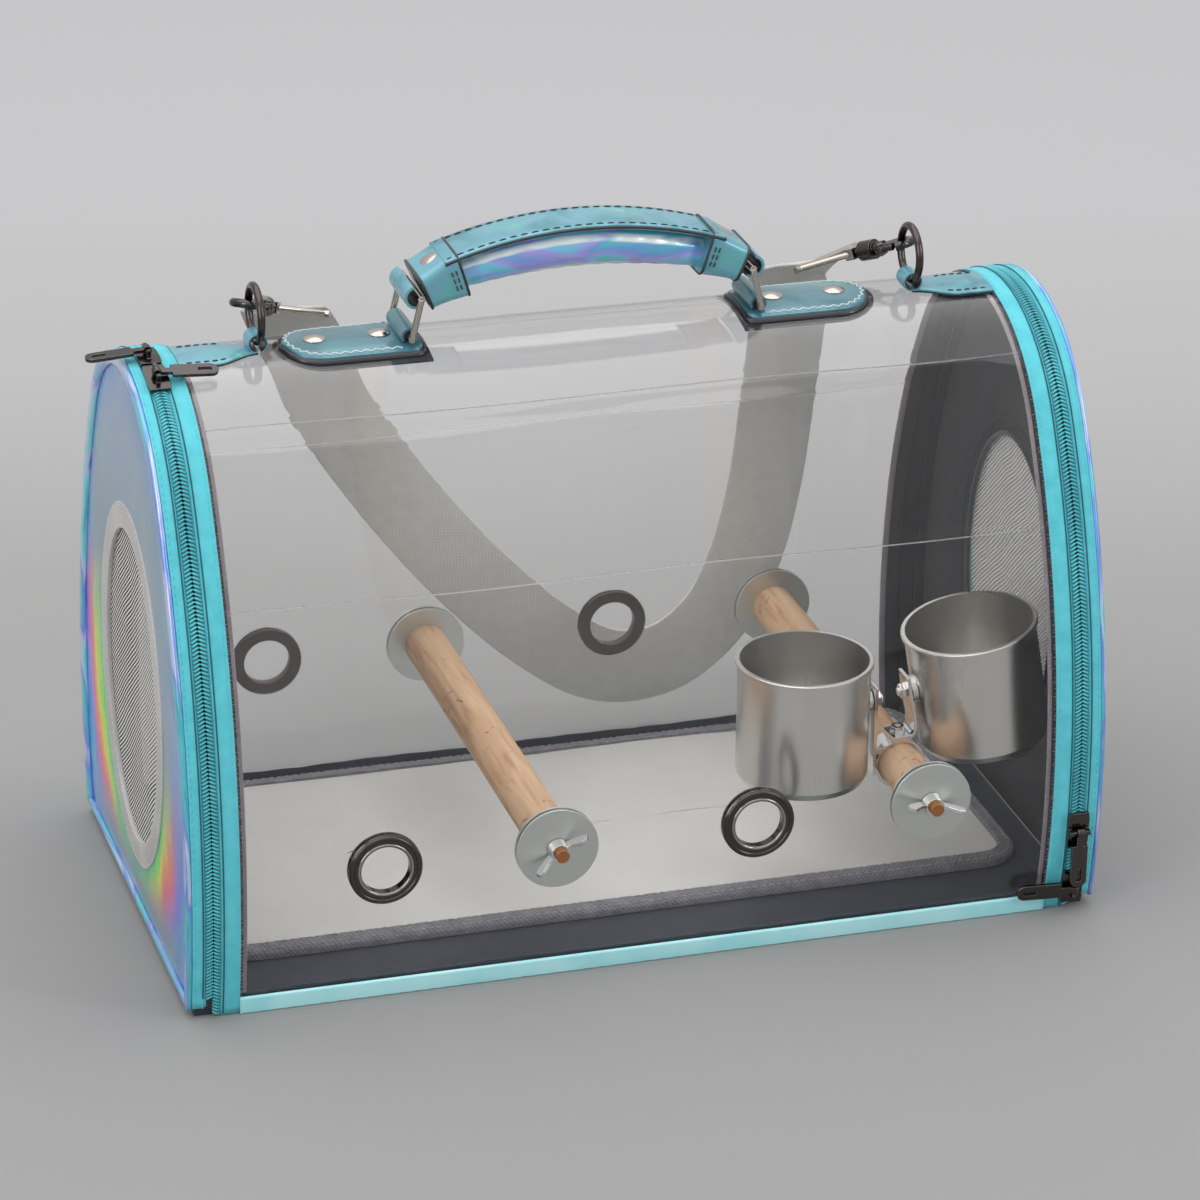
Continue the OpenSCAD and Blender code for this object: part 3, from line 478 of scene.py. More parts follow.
class Effects:
    """The shader effects that several finishes share, each built once."""

    def __init__(self) -> None:
        """Start with none built."""
        self.built: dict[str, bpy.types.NodeTree] = {}

    def start(self, name: str, inputs: dict[str, float], outputs: Sequence[str],
              colours: Sequence[str] = (), vectors: Sequence[str] = ()) -> tuple[Shade, Any, Any]:
        """Open a new group with named sockets.

        Args:
            name: The group's name.
            inputs: Names and first values of its inputs.
            outputs: Names of its outputs.
            colours: Which of the names are colours.
            vectors: Which of the outputs are directions.

        Returns:
            The shade for its tree, its input sockets and its output sockets.
        """
        tree = bpy.data.node_groups.new(name, "ShaderNodeTree")
        for key, value in inputs.items():
            kind = "NodeSocketColor" if key in colours else "NodeSocketFloat"
            socket = tree.interface.new_socket(name=key, in_out="INPUT", socket_type=kind)
            socket.default_value = (*value, 1) if key in colours else value
        for key in outputs:
            kind = "NodeSocketColor" if key in colours else "NodeSocketFloat"
            kind = "NodeSocketVector" if key in vectors else kind
            tree.interface.new_socket(name=key, in_out="OUTPUT", socket_type=kind)
        shade = Shade(tree)
        self.built[name] = tree
        return shade, shade.put("NodeGroupInput").outputs, shade.put("NodeGroupOutput").inputs

    @property
    def edge_wear_and_highlight(self) -> bpy.types.NodeTree:
        """A mask of edges and corners where a finish has rubbed, which the metals also use as a painted highlight."""
        if "Edge wear and highlight" not in self.built:
            shade, given, out = self.start("Edge wear and highlight", {"Amount": 0.5, "Scale": 300.0, "Radius": 0.0006},
                                           ["Mask", "Rounded"], vectors=["Rounded"])
            rounded_edge = shade.put("ShaderNodeBevel", {"Radius": given["Radius"]}, samples=4).outputs[0]
            flat = shade.put("ShaderNodeNewGeometry").outputs["Normal"]
            facing = shade.put("ShaderNodeVectorMath", {0: rounded_edge, 1: flat}, operation="DOT_PRODUCT")
            edge = shade.smooth(shade.calc("SUBTRACT", 1.0, facing.outputs["Value"]), 0.004, 0.12)
            patch = shade.calc("MULTIPLY_ADD", shade.smooth(shade.noise(given["Scale"], 4), 0.3, 0.7), 0.6, 0.4)
            wear_highlight_mask = shade.calc("MULTIPLY", shade.calc("MULTIPLY", edge, patch), given["Amount"])
            shade.tree.links.new(wear_highlight_mask, out["Mask"])
            shade.tree.links.new(rounded_edge, out["Rounded"])
        return self.built["Edge wear and highlight"]

    @property
    def weave(self) -> bpy.types.NodeTree:
        """A plain weave of threads over the flat pattern."""
        if "Weave" not in self.built:
            shade, given, out = self.start("Weave", {"Threads": 900.0, "Uneven": 0.2}, ["Height", "Tone"])
            u, v, _ = shade.pattern()
            turn = shade.calc("MULTIPLY", given["Threads"], math.pi)
            waves = [shade.calc("SINE", shade.calc("MULTIPLY", axis, turn)) for axis in (u, v)]
            height = shade.calc("MULTIPLY_ADD", shade.calc("MULTIPLY", *waves), 0.5, 0.5)
            spots = shade.calc("MULTIPLY", shade.noise(160, 3), given["Uneven"])
            shade.tree.links.new(height, out["Height"])
            shade.tree.links.new(shade.calc("ADD", shade.calc("MULTIPLY", height, 0.35), spots), out["Tone"])
        return self.built["Weave"]

    @property
    def fuzz(self) -> bpy.types.NodeTree:
        """Short fibres of a brushed cloth or frayed edge."""
        if "Fuzz" not in self.built:
            shade, given, out = self.start("Fuzz", {"Scale": 900.0}, ["Height", "Tone"])
            fine = shade.noise(given["Scale"], 6, warp=1.2)
            broad = shade.noise(45, 3)
            shade.tree.links.new(fine, out["Height"])
            shade.tree.links.new(shade.calc("ADD", shade.calc("MULTIPLY", fine, 0.7),
                                            shade.calc("MULTIPLY", broad, 0.3)), out["Tone"])
        return self.built["Fuzz"]

    @property
    def grain(self) -> bpy.types.NodeTree:
        """Fine marks of a brushed or pressed surface, longer along one axis."""
        if "Grain" not in self.built:
            shade, given, out = self.start("Grain", {"Scale": 400.0, "Draw X": 1.0, "Draw Y": 1.0, "Draw Z": 1.0},
                                           ["Height"])
            x, y, z = shade.axes()
            parts = [shade.calc("MULTIPLY", a, given[k]) for a, k in zip((x, y, z), ("Draw X", "Draw Y", "Draw Z"))]
            at = shade.put("ShaderNodeCombineXYZ", dict(enumerate(parts))).outputs[0]
            shade.tree.links.new(shade.noise(given["Scale"], 4, at), out["Height"])
        return self.built["Grain"]

    @property
    def foil_hues(self) -> bpy.types.NodeTree:
        """The colours that a rainbow film runs through, from green to turquoise for a phase of 0 to 1."""
        if "Foil hues" not in self.built:
            shade, given, out = self.start("Foil hues", {"Phase": 0.0, "Play": 0.05}, ["Colour"], ["Colour"])
            phase = shade.calc("ADD", given["Phase"], shade.calc("MULTIPLY", shade.noise(22, 4, warp=0.6),
                                                                 given["Play"]))
            hues = [(0.0, srgb(56, 180, 150)), (0.12, srgb(104, 226, 84)), (0.24, srgb(224, 226, 66)),
                    (0.36, srgb(244, 150, 76)), (0.47, srgb(236, 100, 124)), (0.58, srgb(188, 112, 204)),
                    (0.70, srgb(104, 124, 228)), (0.84, srgb(64, 166, 222)), (1.0, srgb(84, 186, 204))]
            shade.tree.links.new(shade.ramp(phase, hues), out["Colour"])
        return self.built["Foil hues"]


EFFECTS = Effects()


@dataclass(frozen=True)
class Finish:
    """A surface finish. Each kind lays its own nodes once, and dresses any number of pieces."""

    name: str

    def lay(self, shade: Shade, shader: bpy.types.Node) -> None:
        """Lay the finish's nodes.

        Args:
            shade: The material's tree.
            shader: Its Principled shader.
        """
        raise NotImplementedError

    def material(self) -> bpy.types.Material:
        """The Blender material of this finish, made on first use."""
        found = bpy.data.materials.get(self.name)
        if found:
            return found
        made = bpy.data.materials.new(self.name)
        made.use_nodes = True
        shade = Shade(made.node_tree)
        self.lay(shade, made.node_tree.nodes["Principled BSDF"])
        return made

    def dress(self, *pieces: bpy.types.Object) -> None:
        """Give the finish to pieces, in place of whatever they wear."""
        for piece in pieces:
            if not piece.data.materials:
                piece.data.materials.append(self.material())
            for i in range(len(piece.data.materials)):
                piece.data.materials[i] = self.material()

    @staticmethod
    def wire(shade: Shade, shader: bpy.types.Node, **sockets: Any) -> None:
        """Set or link the shader's inputs, with words joined by underscores."""
        for key, value in sockets.items():
            target = shader.inputs[key.replace("_", " ")]
            if isinstance(value, bpy.types.NodeSocket):
                shade.tree.links.new(value, target)
            elif target.type == "RGBA":
                target.default_value = (*value, 1)
            else:
                target.default_value = value

    @staticmethod
    def bump(shade: Shade, height: Any, distance: float, strength: float = 1.0,
             normal: Any = None) -> bpy.types.NodeSocket:
        """A normal from a height in metres of relief, over the surface's own or a given normal."""
        sockets = {"Height": height, "Distance": distance, "Strength": strength}
        if normal:
            sockets["Normal"] = normal
        return shade.put("ShaderNodeBump", sockets).outputs["Normal"]


@dataclass(frozen=True)
class ClearSheet(Finish):
    """Clear soft sheet: it gleams, and lets nearly all light through to what stands inside."""

    tint: Colour = srgb(250, 250, 250)
    shadow: float = 0.1
    cloudy: float = 0.015

    def lay(self, shade: Shade, shader: bpy.types.Node) -> None:
        """Lay a thin clear plastic with faint haze."""
        haze = shade.smooth(shade.noise(30, 3), 0.45, 0.8)
        rough = shade.calc("MULTIPLY_ADD", haze, 0.03, self.cloudy)
        shadow = shade.put("ShaderNodeLightPath").outputs["Is Shadow Ray"]
        alpha = shade.calc("SUBTRACT", 1.0, shade.calc("MULTIPLY", shadow, 1 - self.shadow))
        ripple = self.bump(shade, shade.noise(24, 1, warp=0.3), 0.0003, 0.12)
        self.wire(shade, shader, Base_Color=self.tint, Roughness=rough, IOR=1.38, Transmission_Weight=1.0,
                  Alpha=alpha, Normal=ripple)


@dataclass(frozen=True)
class Metal(Finish):
    """Plated or bare metal, with fine marks, and rubbed edges that are lightened also as a painted highlight."""

    colour: Colour
    worn_and_lit: Colour
    rough: float = 0.2
    wear: float = 0.6
    draw: tuple[float, float, float] = (1.0, 1.0, 1.0)
    relief: float = 0.00001
    edge: float = 0.0005

    def lay(self, shade: Shade, shader: bpy.types.Node) -> None:
        """Lay the metal, its marks, and its rubbed edges lightened as a painted highlight."""
        edge = shade.fill(EFFECTS.edge_wear_and_highlight, {"Amount": self.wear, "Scale": 260.0, "Radius": self.edge})
        wear_highlight_mask = edge.outputs["Mask"]
        grain = shade.fill(EFFECTS.grain, {"Scale": 700.0, "Draw X": self.draw[0], "Draw Y": self.draw[1],
                                           "Draw Z": self.draw[2]}).outputs["Height"]
        at = shade.put("ShaderNodeTexCoord").outputs["Object"]
        drawn = shade.put("ShaderNodeVectorMath", {0: at, 1: self.draw}, operation="MULTIPLY").outputs[0]
        dull = shade.smooth(shade.noise(34, 4, drawn), 0.35, 0.8)
        rough = shade.calc("MULTIPLY_ADD", dull, 0.08, self.rough)
        tone = shade.blend(shade.calc("MULTIPLY", dull, 0.1), self.colour, tuple(c * 0.75 for c in self.colour))
        # The lighter edge colour is part rubbed metal, part painted highlight along edges and rims.
        self.wire(shade, shader, Base_Color=shade.blend(wear_highlight_mask, tone, self.worn_and_lit), Metallic=1.0,
                  Roughness=shade.calc("MULTIPLY_ADD", wear_highlight_mask, 0.08, rough),
                  Normal=self.bump(shade, grain, self.relief, 0.4, edge.outputs["Rounded"] if self.wear else None))


@dataclass(frozen=True)
class Cloth(Finish):
    """Woven cloth or tape over the flat pattern."""

    light: Colour
    dark: Colour
    threads: float = 1200.0
    relief: float = 0.00012
    sheen: float = 0.3
    rough: float = 0.75
    soft: bool = False

    def lay(self, shade: Shade, shader: bpy.types.Node) -> None:
        """Lay the weave, or brushed fibres for a soft cloth."""
        if self.soft:
            group = shade.fill(EFFECTS.fuzz, {"Scale": self.threads})
        else:
            group = shade.fill(EFFECTS.weave, {"Threads": self.threads, "Uneven": 0.55})
        tone = shade.smooth(group.outputs["Tone"], 0.15, 0.8)
        shader.inputs["Sheen Roughness"].default_value = 0.5
        self.wire(shade, shader, Base_Color=shade.blend(tone, self.dark, self.light), Roughness=self.rough,
                  Sheen_Weight=self.sheen, Normal=self.bump(shade, group.outputs["Height"], self.relief, 0.8))


@dataclass(frozen=True)
class GlossFilm(Finish):
    """Smooth soft plastic in one family of colours, with a wet gloss."""

    light: Colour
    dark: Colour
    rough: float = 0.22
    wobble: float = 0.0004

    def lay(self, shade: Shade, shader: bpy.types.Node) -> None:
        """Lay the film with faint puckers and rubbed edges."""
        tone = shade.smooth(shade.noise(26, 4, warp=0.5), 0.25, 0.75)
        dust = shade.smooth(shade.noise(180, 5), 0.62, 0.8)
        colour = shade.blend(shade.calc("MULTIPLY", dust, 0.3), shade.blend(tone, self.dark, self.light), self.light)
        rough = shade.calc("MULTIPLY_ADD", shade.noise(140, 3), 0.16, self.rough - 0.05)
        self.wire(shade, shader, Base_Color=colour, Roughness=rough, Coat_Weight=0.6,
                  Normal=self.bump(shade, shade.noise(70, 2), self.wobble, 0.5))
        shader.inputs["Coat Roughness"].default_value = 0.06


class FilmCut(Enum):
    """Where a cut of rainbow film is used, and so which hues it shows."""

    DOOR = "door"
    ROLL = "roll"
    STRAP = "strap"
    WELT = "welt"


@dataclass(frozen=True)
class RainbowFilm(Finish):
    """Holographic film: blue-green at rest, running into rainbow hues where the photo shows them."""

    cut: FilmCut = FilmCut.STRAP
    metallic: float = 0.2
    coat: float = 0.5
    deep: float = 0.0
    window: tuple[float, float, float] = (0.064, 0.085, 0.111)

    def door_colour(self, shade: Shade) -> bpy.types.NodeSocket:
        """Grey-blue above, blue and turquoise to the sides, and a rainbow below the window."""
        _, y, z = shade.axes()
        across = shade.calc("DIVIDE", y, self.window[0])
        up = shade.calc("DIVIDE", shade.calc("SUBTRACT", z, self.window[2]), self.window[1])
        r = shade.calc("SQRT", shade.calc("ADD", shade.calc("POWER", across, 2.0), shade.calc("POWER", up, 2.0)))
        streak = shade.put("ShaderNodeCombineXYZ", {0: 0.0, 1: shade.calc("MULTIPLY", y, 6.0), 2: z}).outputs[0]
        drift = shade.calc("MULTIPLY_ADD", shade.noise(9, 4, streak), 0.5, -0.42)
        speckle = shade.calc("MULTIPLY_ADD", shade.noise(420, 3), 0.16, drift)
        phase = shade.calc("MULTIPLY_ADD", shade.calc("SUBTRACT", r, 1.0), 1.1, speckle)
        rainbow = shade.fill(EFFECTS.foil_hues, {"Phase": phase, "Play": 0.25}).outputs["Colour"]
        calm = shade.ramp(shade.noise(7, 3, warp=0.8), [(0.3, srgb(120, 150, 168)), (0.5, srgb(132, 160, 176)),
                                                        (0.62, srgb(140, 164, 192)), (0.8, srgb(160, 180, 186))])
        slope = shade.calc("MULTIPLY_ADD", y, 0.32, 0.118)
        low = shade.smooth(shade.calc("SUBTRACT", slope, z), -0.02, 0.05)
        crown = shade.calc("MULTIPLY", shade.calc("MAXIMUM", shade.calc("SUBTRACT", z, 0.15), 0.0), 0.85)
        away = shade.calc("SQRT", shade.calc("ADD", shade.calc("POWER", shade.calc("ABSOLUTE", y), 2.0),
                                             shade.calc("POWER", crown, 2.0)))
        edge = shade.smooth(away, 0.066, 0.1)
        side = shade.ramp(shade.noise(20, 3, warp=0.9), [(0.3, srgb(66, 168, 200)), (0.48, srgb(84, 146, 214)),
                                                         (0.6, srgb(134, 150, 220)), (0.75, srgb(104, 200, 214))])
        vivid = shade.calc("MULTIPLY", low, shade.smooth(z, 0.01, 0.045))
        return shade.blend(vivid, shade.blend(edge, calm, side), rainbow)

    def strap_colour(self, shade: Shade) -> bpy.types.NodeSocket:
        """Blue-green film with soft lighter patches."""
        tone = shade.noise(36, 3, warp=1.0)
        hues = shade.ramp(tone, [(0.3, srgb(54, 124, 140)), (0.44, srgb(84, 154, 168)),
                                 (0.56, srgb(108, 166, 186)), (0.66, srgb(92, 176, 176)), (0.8, srgb(170, 212, 218))])
        return shade.blend(self.deep, hues, srgb(16, 58, 74))

    def roll_colour(self, shade: Shade) -> bpy.types.NodeSocket:
        """Blue and violet swirls with turquoise stripes along the roll, and pale streaks near its top and bottom that
        are painted highlights.
        """
        x, y, z = shade.axes()
        at = shade.put("ShaderNodeCombineXYZ", {0: x, 1: shade.calc("MULTIPLY", y, 2.2),
                                                2: shade.calc("MULTIPLY", z, 3.2)}).outputs[0]
        swirl = shade.noise(17, 3, at, warp=1.4)
        from_bow = [shade.calc("POWER", shade.calc("ABSOLUTE", shade.calc("SUBTRACT", a, b)), 2.0)
                    for a, b in ((x, -0.005), (z, 0.118))]
        # The pale streaks at fixed heights on the roll are painted highlights of the lamps.
        height = shade.calc("SUBTRACT", shade.calc("SQRT", shade.calc("ADD", *from_bow)), 0.182)
        sway = shade.calc("MULTIPLY_ADD", shade.noise(26, 2, at), 1.6, -1.64)
        highlight_bands = shade.calc("SINE", shade.calc("MULTIPLY_ADD", height, 483.0, sway))
        patches = shade.smooth(shade.noise(38, 2, at), 0.34, 0.52)
        painted_highlight = shade.calc("MULTIPLY", shade.smooth(highlight_bands, 0.6, 0.92), patches)
        hues = shade.ramp(swirl, [(0.28, srgb(84, 190, 214)), (0.42, srgb(112, 164, 230)), (0.52, srgb(166, 156, 234)),
                                  (0.6, srgb(124, 198, 238)), (0.7, srgb(88, 204, 210)), (0.82, srgb(196, 226, 240))])
        return shade.blend(painted_highlight, hues, srgb(236, 246, 249))

    def welt_colour(self, shade: Shade) -> bpy.types.NodeSocket:
        """Turquoise with blue streaks that follow the edge, and pale streaks that are painted highlights."""
        x, y, z = shade.axes()
        at = shade.put("ShaderNodeCombineXYZ", {0: shade.calc("MULTIPLY", x, 12.0), 1: y, 2: z}).outputs[0]
        streak = shade.noise(15, 3, at, warp=0.5)
        # The two palest stops are painted highlights along the welt.
        return shade.ramp(streak, [(0.28, srgb(48, 150, 178)), (0.4, srgb(86, 200, 214)), (0.49, srgb(104, 146, 226)),
                                   (0.55, srgb(196, 204, 240)), (0.62, srgb(120, 220, 228)),
                                   (0.7, srgb(70, 172, 196)), (0.8, srgb(216, 240, 244))])

    def lay(self, shade: Shade, shader: bpy.types.Node) -> None:
        """Lay the film: metallic underneath, clear and glossy on top."""
        colours = {FilmCut.DOOR: self.door_colour, FilmCut.ROLL: self.roll_colour,
                   FilmCut.STRAP: self.strap_colour, FilmCut.WELT: self.welt_colour}
        fine = shade.fill(EFFECTS.grain, {"Scale": 1500.0}).outputs["Height"]
        rough = shade.calc("MULTIPLY_ADD", shade.noise(50, 3), 0.16, 0.24)
        self.wire(shade, shader, Base_Color=colours[self.cut](shade), Metallic=self.metallic, Roughness=rough,
                  Coat_Weight=self.coat, Normal=self.bump(shade, fine, 0.00002, 0.4))
        shader.inputs["Coat Roughness"].default_value = 0.06


@dataclass(frozen=True)
class Timber(Finish):
    """Pale sanded dowel wood, grained along Y."""

    def lay(self, shade: Shade, shader: bpy.types.Node) -> None:
        """Lay long grain, pores and a few darker marks."""
        x, y, z = shade.axes()
        at = shade.put("ShaderNodeCombineXYZ", {0: x, 1: shade.calc("MULTIPLY", y, 0.1), 2: z}).outputs[0]
        grain = shade.noise(260, 5, at, warp=0.7)
        broad = shade.noise(30, 4, at, warp=1.5)
        colour = shade.ramp(shade.calc("ADD", shade.calc("MULTIPLY", grain, 0.5), shade.calc("MULTIPLY", broad, 0.5)),
                            [(0.3, srgb(168, 126, 94)), (0.45, srgb(204, 165, 130)), (0.6, srgb(221, 187, 154)),
                             (0.8, srgb(233, 205, 175))])
        marks = shade.smooth(shade.noise(85, 5, warp=2.0), 0.64, 0.72)
        self.wire(shade, shader, Base_Color=shade.blend(marks, colour, srgb(140, 104, 80)), Roughness=0.7,
                  Normal=self.bump(shade, grain, 0.0003, 0.7))


@dataclass(frozen=True)
class NetCloth(Finish):
    """Fine window netting: wavy slanting threads, pale on dark, with narrow gaps between them."""

    pitch: float = 0.0023
    slant: float = 0.85

    def lay(self, shade: Shade, shader: bpy.types.Node) -> None:
        """Lay the wavy threads and cut the gaps."""
        _, y, z = shade.axes()
        drift = shade.calc("MULTIPLY", shade.noise(16, 2), 0.01)
        place = shade.calc("ADD", shade.calc("MULTIPLY_ADD", y, self.slant, z), drift)
        height = shade.calc("SINE", shade.calc("MULTIPLY", place, 2 * math.pi / self.pitch))
        cover = shade.smooth(height, -0.98, -0.8)
        tone = shade.smooth(height, -0.35, 0.25)
        self.wire(shade, shader, Base_Color=shade.blend(tone, srgb(58, 58, 61), srgb(222, 221, 218)),
                  Roughness=0.7, Alpha=cover, Normal=self.bump(shade, height, 0.0003, 0.8))


@dataclass(frozen=True)
class StudioPaper(Finish):
    """The grey floor and backdrop, with the lamps' falloff painted into its colour."""

    def lay(self, shade: Shade, shader: bpy.types.Node) -> None:
        """Lay a matt grey that lightens away from the front and to the right, a painted falloff of the lamps' light."""
        x, y, _ = shade.axes()
        # Painted light: the paper grows lighter further back and to the right, as the lamps' falloff.
        away = shade.calc("MULTIPLY_ADD", x, 0.29, shade.calc("MULTIPLY", y, 0.96))
        rise = shade.calc("MULTIPLY_ADD", shade.noise(2.2, 2), 0.04, shade.calc("MULTIPLY_ADD", away, 1.1, -0.07))
        colour = shade.ramp(rise, [(0.0, srgb(151, 151, 151)), (0.3, srgb(157, 157, 157)), (0.6, srgb(171, 171, 172)),
                                   (0.95, srgb(179, 179, 181))])
        self.wire(shade, shader, Base_Color=colour, Roughness=0.9, Specular_IOR_Level=0.2)

CLEAR = ClearSheet("Clear soft sheet")
CLEAR_FOLD = ClearSheet("Clouded fold", srgb(254, 254, 254), 0.3, 0.35)
TAPE = Cloth("Turquoise zip tape", srgb(104, 214, 226), srgb(72, 184, 200), threads=1500, relief=0.00008, sheen=0.15)
COIL = GlossFilm("Turquoise zip coil", srgb(84, 198, 208), srgb(56, 164, 178), rough=0.4)
# The coil cord's darker colour paints the shade between the teeth.
CORE_SHADE = Cloth("Coil cord darkened as painted shade", srgb(58, 132, 144), srgb(40, 104, 116), threads=2000, relief=0.00005)
GUIDE = Cloth("Dark tape line", srgb(34, 104, 118), srgb(22, 80, 94), threads=2000, relief=0.00005, sheen=0.05)
PIPING = GlossFilm("Light turquoise piping", srgb(192, 246, 250), srgb(160, 232, 240), rough=0.3)
BINDING = Cloth("Mauve-grey seam binding", srgb(150, 140, 146), srgb(104, 96, 104), threads=900, relief=0.0004,
                sheen=0.6, soft=True)
FACING = Cloth("Charcoal facing cloth", srgb(58, 60, 68), srgb(30, 32, 40), threads=1300, relief=0.0002, sheen=0.12,
               soft=True)
LINING = Cloth("Dark grey lining", srgb(46, 49, 57), srgb(28, 31, 38), threads=1600, relief=0.0001, sheen=0.06)
BOARD = Cloth("Slate floor cloth", srgb(58, 63, 76), srgb(38, 43, 55), threads=1100, relief=0.0002, sheen=0.08)
MAT = Cloth("Pale mat cloth", srgb(224, 223, 220), srgb(204, 203, 200), threads=1000, relief=0.0002, sheen=0.5,
            soft=True)
MAT_EDGE = Cloth("Grey mat binding", srgb(138, 138, 144), srgb(86, 86, 94), threads=900, relief=0.0004, sheen=0.4)
WEBBING = Cloth("Stone webbing", srgb(222, 220, 217), srgb(206, 204, 200), threads=900, relief=0.0002, sheen=0.2)
TRIM = GlossFilm("Light grey window trim", srgb(196, 195, 193), srgb(172, 171, 170), rough=0.45, wobble=0.0002)
BLACK_EDGE_AND_SHADE = GlossFilm("Black edge paint and hollow shade", srgb(38, 38, 44), srgb(22, 22, 27), rough=0.35)
DARK_THREAD = Cloth("Dark sewing thread", srgb(44, 48, 62), srgb(24, 26, 36), threads=3000, relief=0.00005)
PALE_THREAD = Cloth("Pale sewing thread", srgb(226, 236, 238), srgb(176, 196, 204), threads=3000, relief=0.00005)
BACKING = Cloth("Dark tab backing", srgb(54, 55, 62), srgb(34, 35, 42), threads=1500, relief=0.0001)
NET = NetCloth("Window netting")
DOOR_FILM = RainbowFilm("Rainbow door film", FilmCut.DOOR, 0.15, 0.4)
ROLL_FILM = RainbowFilm("Rainbow handle film", FilmCut.ROLL, 0.2, 1.0)
STRAP_FILM = RainbowFilm("Blue-green strap film", FilmCut.STRAP)
TAB_FILM = RainbowFilm("Deep blue-green tab film", FilmCut.STRAP, 0.25, 0.6, 0.5)
WELT_FILM = RainbowFilm("Turquoise welt film", FilmCut.WELT, 0.3, 1.0)
# Each metal's second colour lightens its edges: rubbed metal, and a painted highlight.
GUNMETAL = Metal("Gunmetal plate", srgb(86, 81, 80), srgb(186, 180, 174), rough=0.14, wear=0.55)
NICKEL = Metal("Nickel wire", srgb(194, 187, 179), srgb(228, 224, 219), rough=0.13, wear=0.4)
STEEL = Metal("Brushed stainless steel", srgb(224, 222, 218), srgb(232, 231, 228), rough=0.27, wear=0.0,
              draw=(1.0, 1.0, 0.06), relief=0.000008, edge=0.0001)
# The eyelet lip's lighter gunmetal is a painted highlight ring.
LIP_HIGHLIGHT_METAL = Metal("Eyelet lip with painted highlight", srgb(168, 164, 162), srgb(226, 224, 222), rough=0.08, wear=0.2)
CHROME = Metal("Chrome", srgb(222, 222, 222), srgb(238, 238, 238), rough=0.07, wear=0.3)
ZINC = Metal("Zinc washer plate", srgb(206, 210, 207), srgb(238, 239, 238), rough=0.4, wear=0.6)
BRASS = Metal("Copper-brass stud", srgb(186, 128, 84), srgb(222, 170, 120), rough=0.26, wear=0.5)
WOOD = Timber("Pale dowel wood")


@dataclass
class Studio:
    """The camera at the photograph's angle, the plain floor and the soft lamps."""

    turn: float = -17.054
    tilt: float = 23.940
    roll: float = 0.797
    place: tuple[float, float, float] = (-0.6087, -2.0080, 1.0602)
    frame_px: float = 1200.0
    focal_px: float = 5091.1
    sensor: float = 36.0
    floor_half: float = 7.0

    def camera(self) -> None:
        """Set the camera where the photograph was taken from."""
        data = bpy.data.cameras.new("camera")
        data.sensor_width = self.sensor
        data.lens = self.sensor * self.focal_px / self.frame_px
        data.clip_start, data.clip_end = 0.05, 60
        made = bpy.data.objects.new("camera", data)
        a, e, r = (math.radians(v) for v in (self.turn, self.tilt, self.roll))
        right = Vector((math.cos(a), math.sin(a), 0))
        ahead = Vector((-math.sin(a) * math.cos(e), math.cos(a) * math.cos(e), -math.sin(e)))
        up = right.cross(ahead)
        axes = (math.cos(r) * right + math.sin(r) * up, math.cos(r) * up - math.sin(r) * right, -ahead)
        made.matrix_world = Matrix.Translation(self.place) @ Matrix(axes).transposed().to_4x4()
        bpy.context.scene.collection.objects.link(made)
        bpy.context.scene.camera = made

    def floor(self) -> None:
        """Lay the grey floor, with its painted light falloff, just under the base."""
        half = self.floor_half
        rows = [[Vector((x, y, -0.0002)) for x in (-half, 0, half)] for y in (-half, 0, half)]
        made = Mesh("floor").add_rows(rows).flip().make()
        StudioPaper("Grey paper with painted light falloff").dress(made)

    def lamp(self, name: str, spot: tuple[float, float, float], size: tuple[float, float], power: float,
             aim: tuple[float, float, float] = (0, 0, 0.12)) -> None:
        """Hang one soft rectangular lamp that faces a point."""
        data = bpy.data.lights.new(name, "AREA")
        data.shape, data.size, data.size_y, data.energy = "RECTANGLE", size[0], size[1], power
        made = bpy.data.objects.new(name, data)
        made.location = spot
        made.rotation_mode = "QUATERNION"
        made.rotation_quaternion = (Vector(aim) - Vector(spot)).to_track_quat("-Z", "Y")
        bpy.context.scene.collection.objects.link(made)

    def light(self) -> None:
        """Light the object softly, mostly from above, and colour the backdrop."""
        self.lamp("overhead_softbox", (-0.2, 0.4, 2.8), (4.6, 3.6), 60)
        self.lamp("left_softbox", (-2.2, -1.5, 1.1), (0.9, 1.8), 16)
        self.lamp("right_softbox", (2.1, -1.9, 1.3), (0.5, 1.6), 14)
        world = bpy.data.worlds.new("backdrop")
        world.use_nodes = True
        shade = Shade(world.node_tree)
        up = shade.axes(shade.put("ShaderNodeTexCoord").outputs["Generated"])[2]
        sky = shade.ramp(shade.smooth(up, -0.1, 0.7), [(0.0, srgb(196, 195, 194)), (1.0, srgb(232, 231, 230))])
        shade.tree.links.new(sky, world.node_tree.nodes["Background"].inputs["Color"])
        bpy.context.scene.world = world
        bpy.context.scene.view_settings.view_transform = "Standard"


def catmull(points: Sequence[Vector], steps: int) -> list[Vector]:
    """Run a smooth curve through points.

    Args:
        points: The points.
        steps: Steps between each two.

    Returns:
        Points along the curve.
    """
    made = []
    last = len(points) - 1
    for i in range(last):
        a, b, c, d = (points[max(0, min(last, i + k))] for k in (-1, 0, 1, 2))
        for k in range(steps):
            t = k / steps
            made.append(0.5 * (2 * b + (c - a) * t + (2 * a - 5 * b + 4 * c - d) * t * t
                               + (3 * b - a - 3 * c + d) * t ** 3))
    made.append(points[-1].copy())
    return made


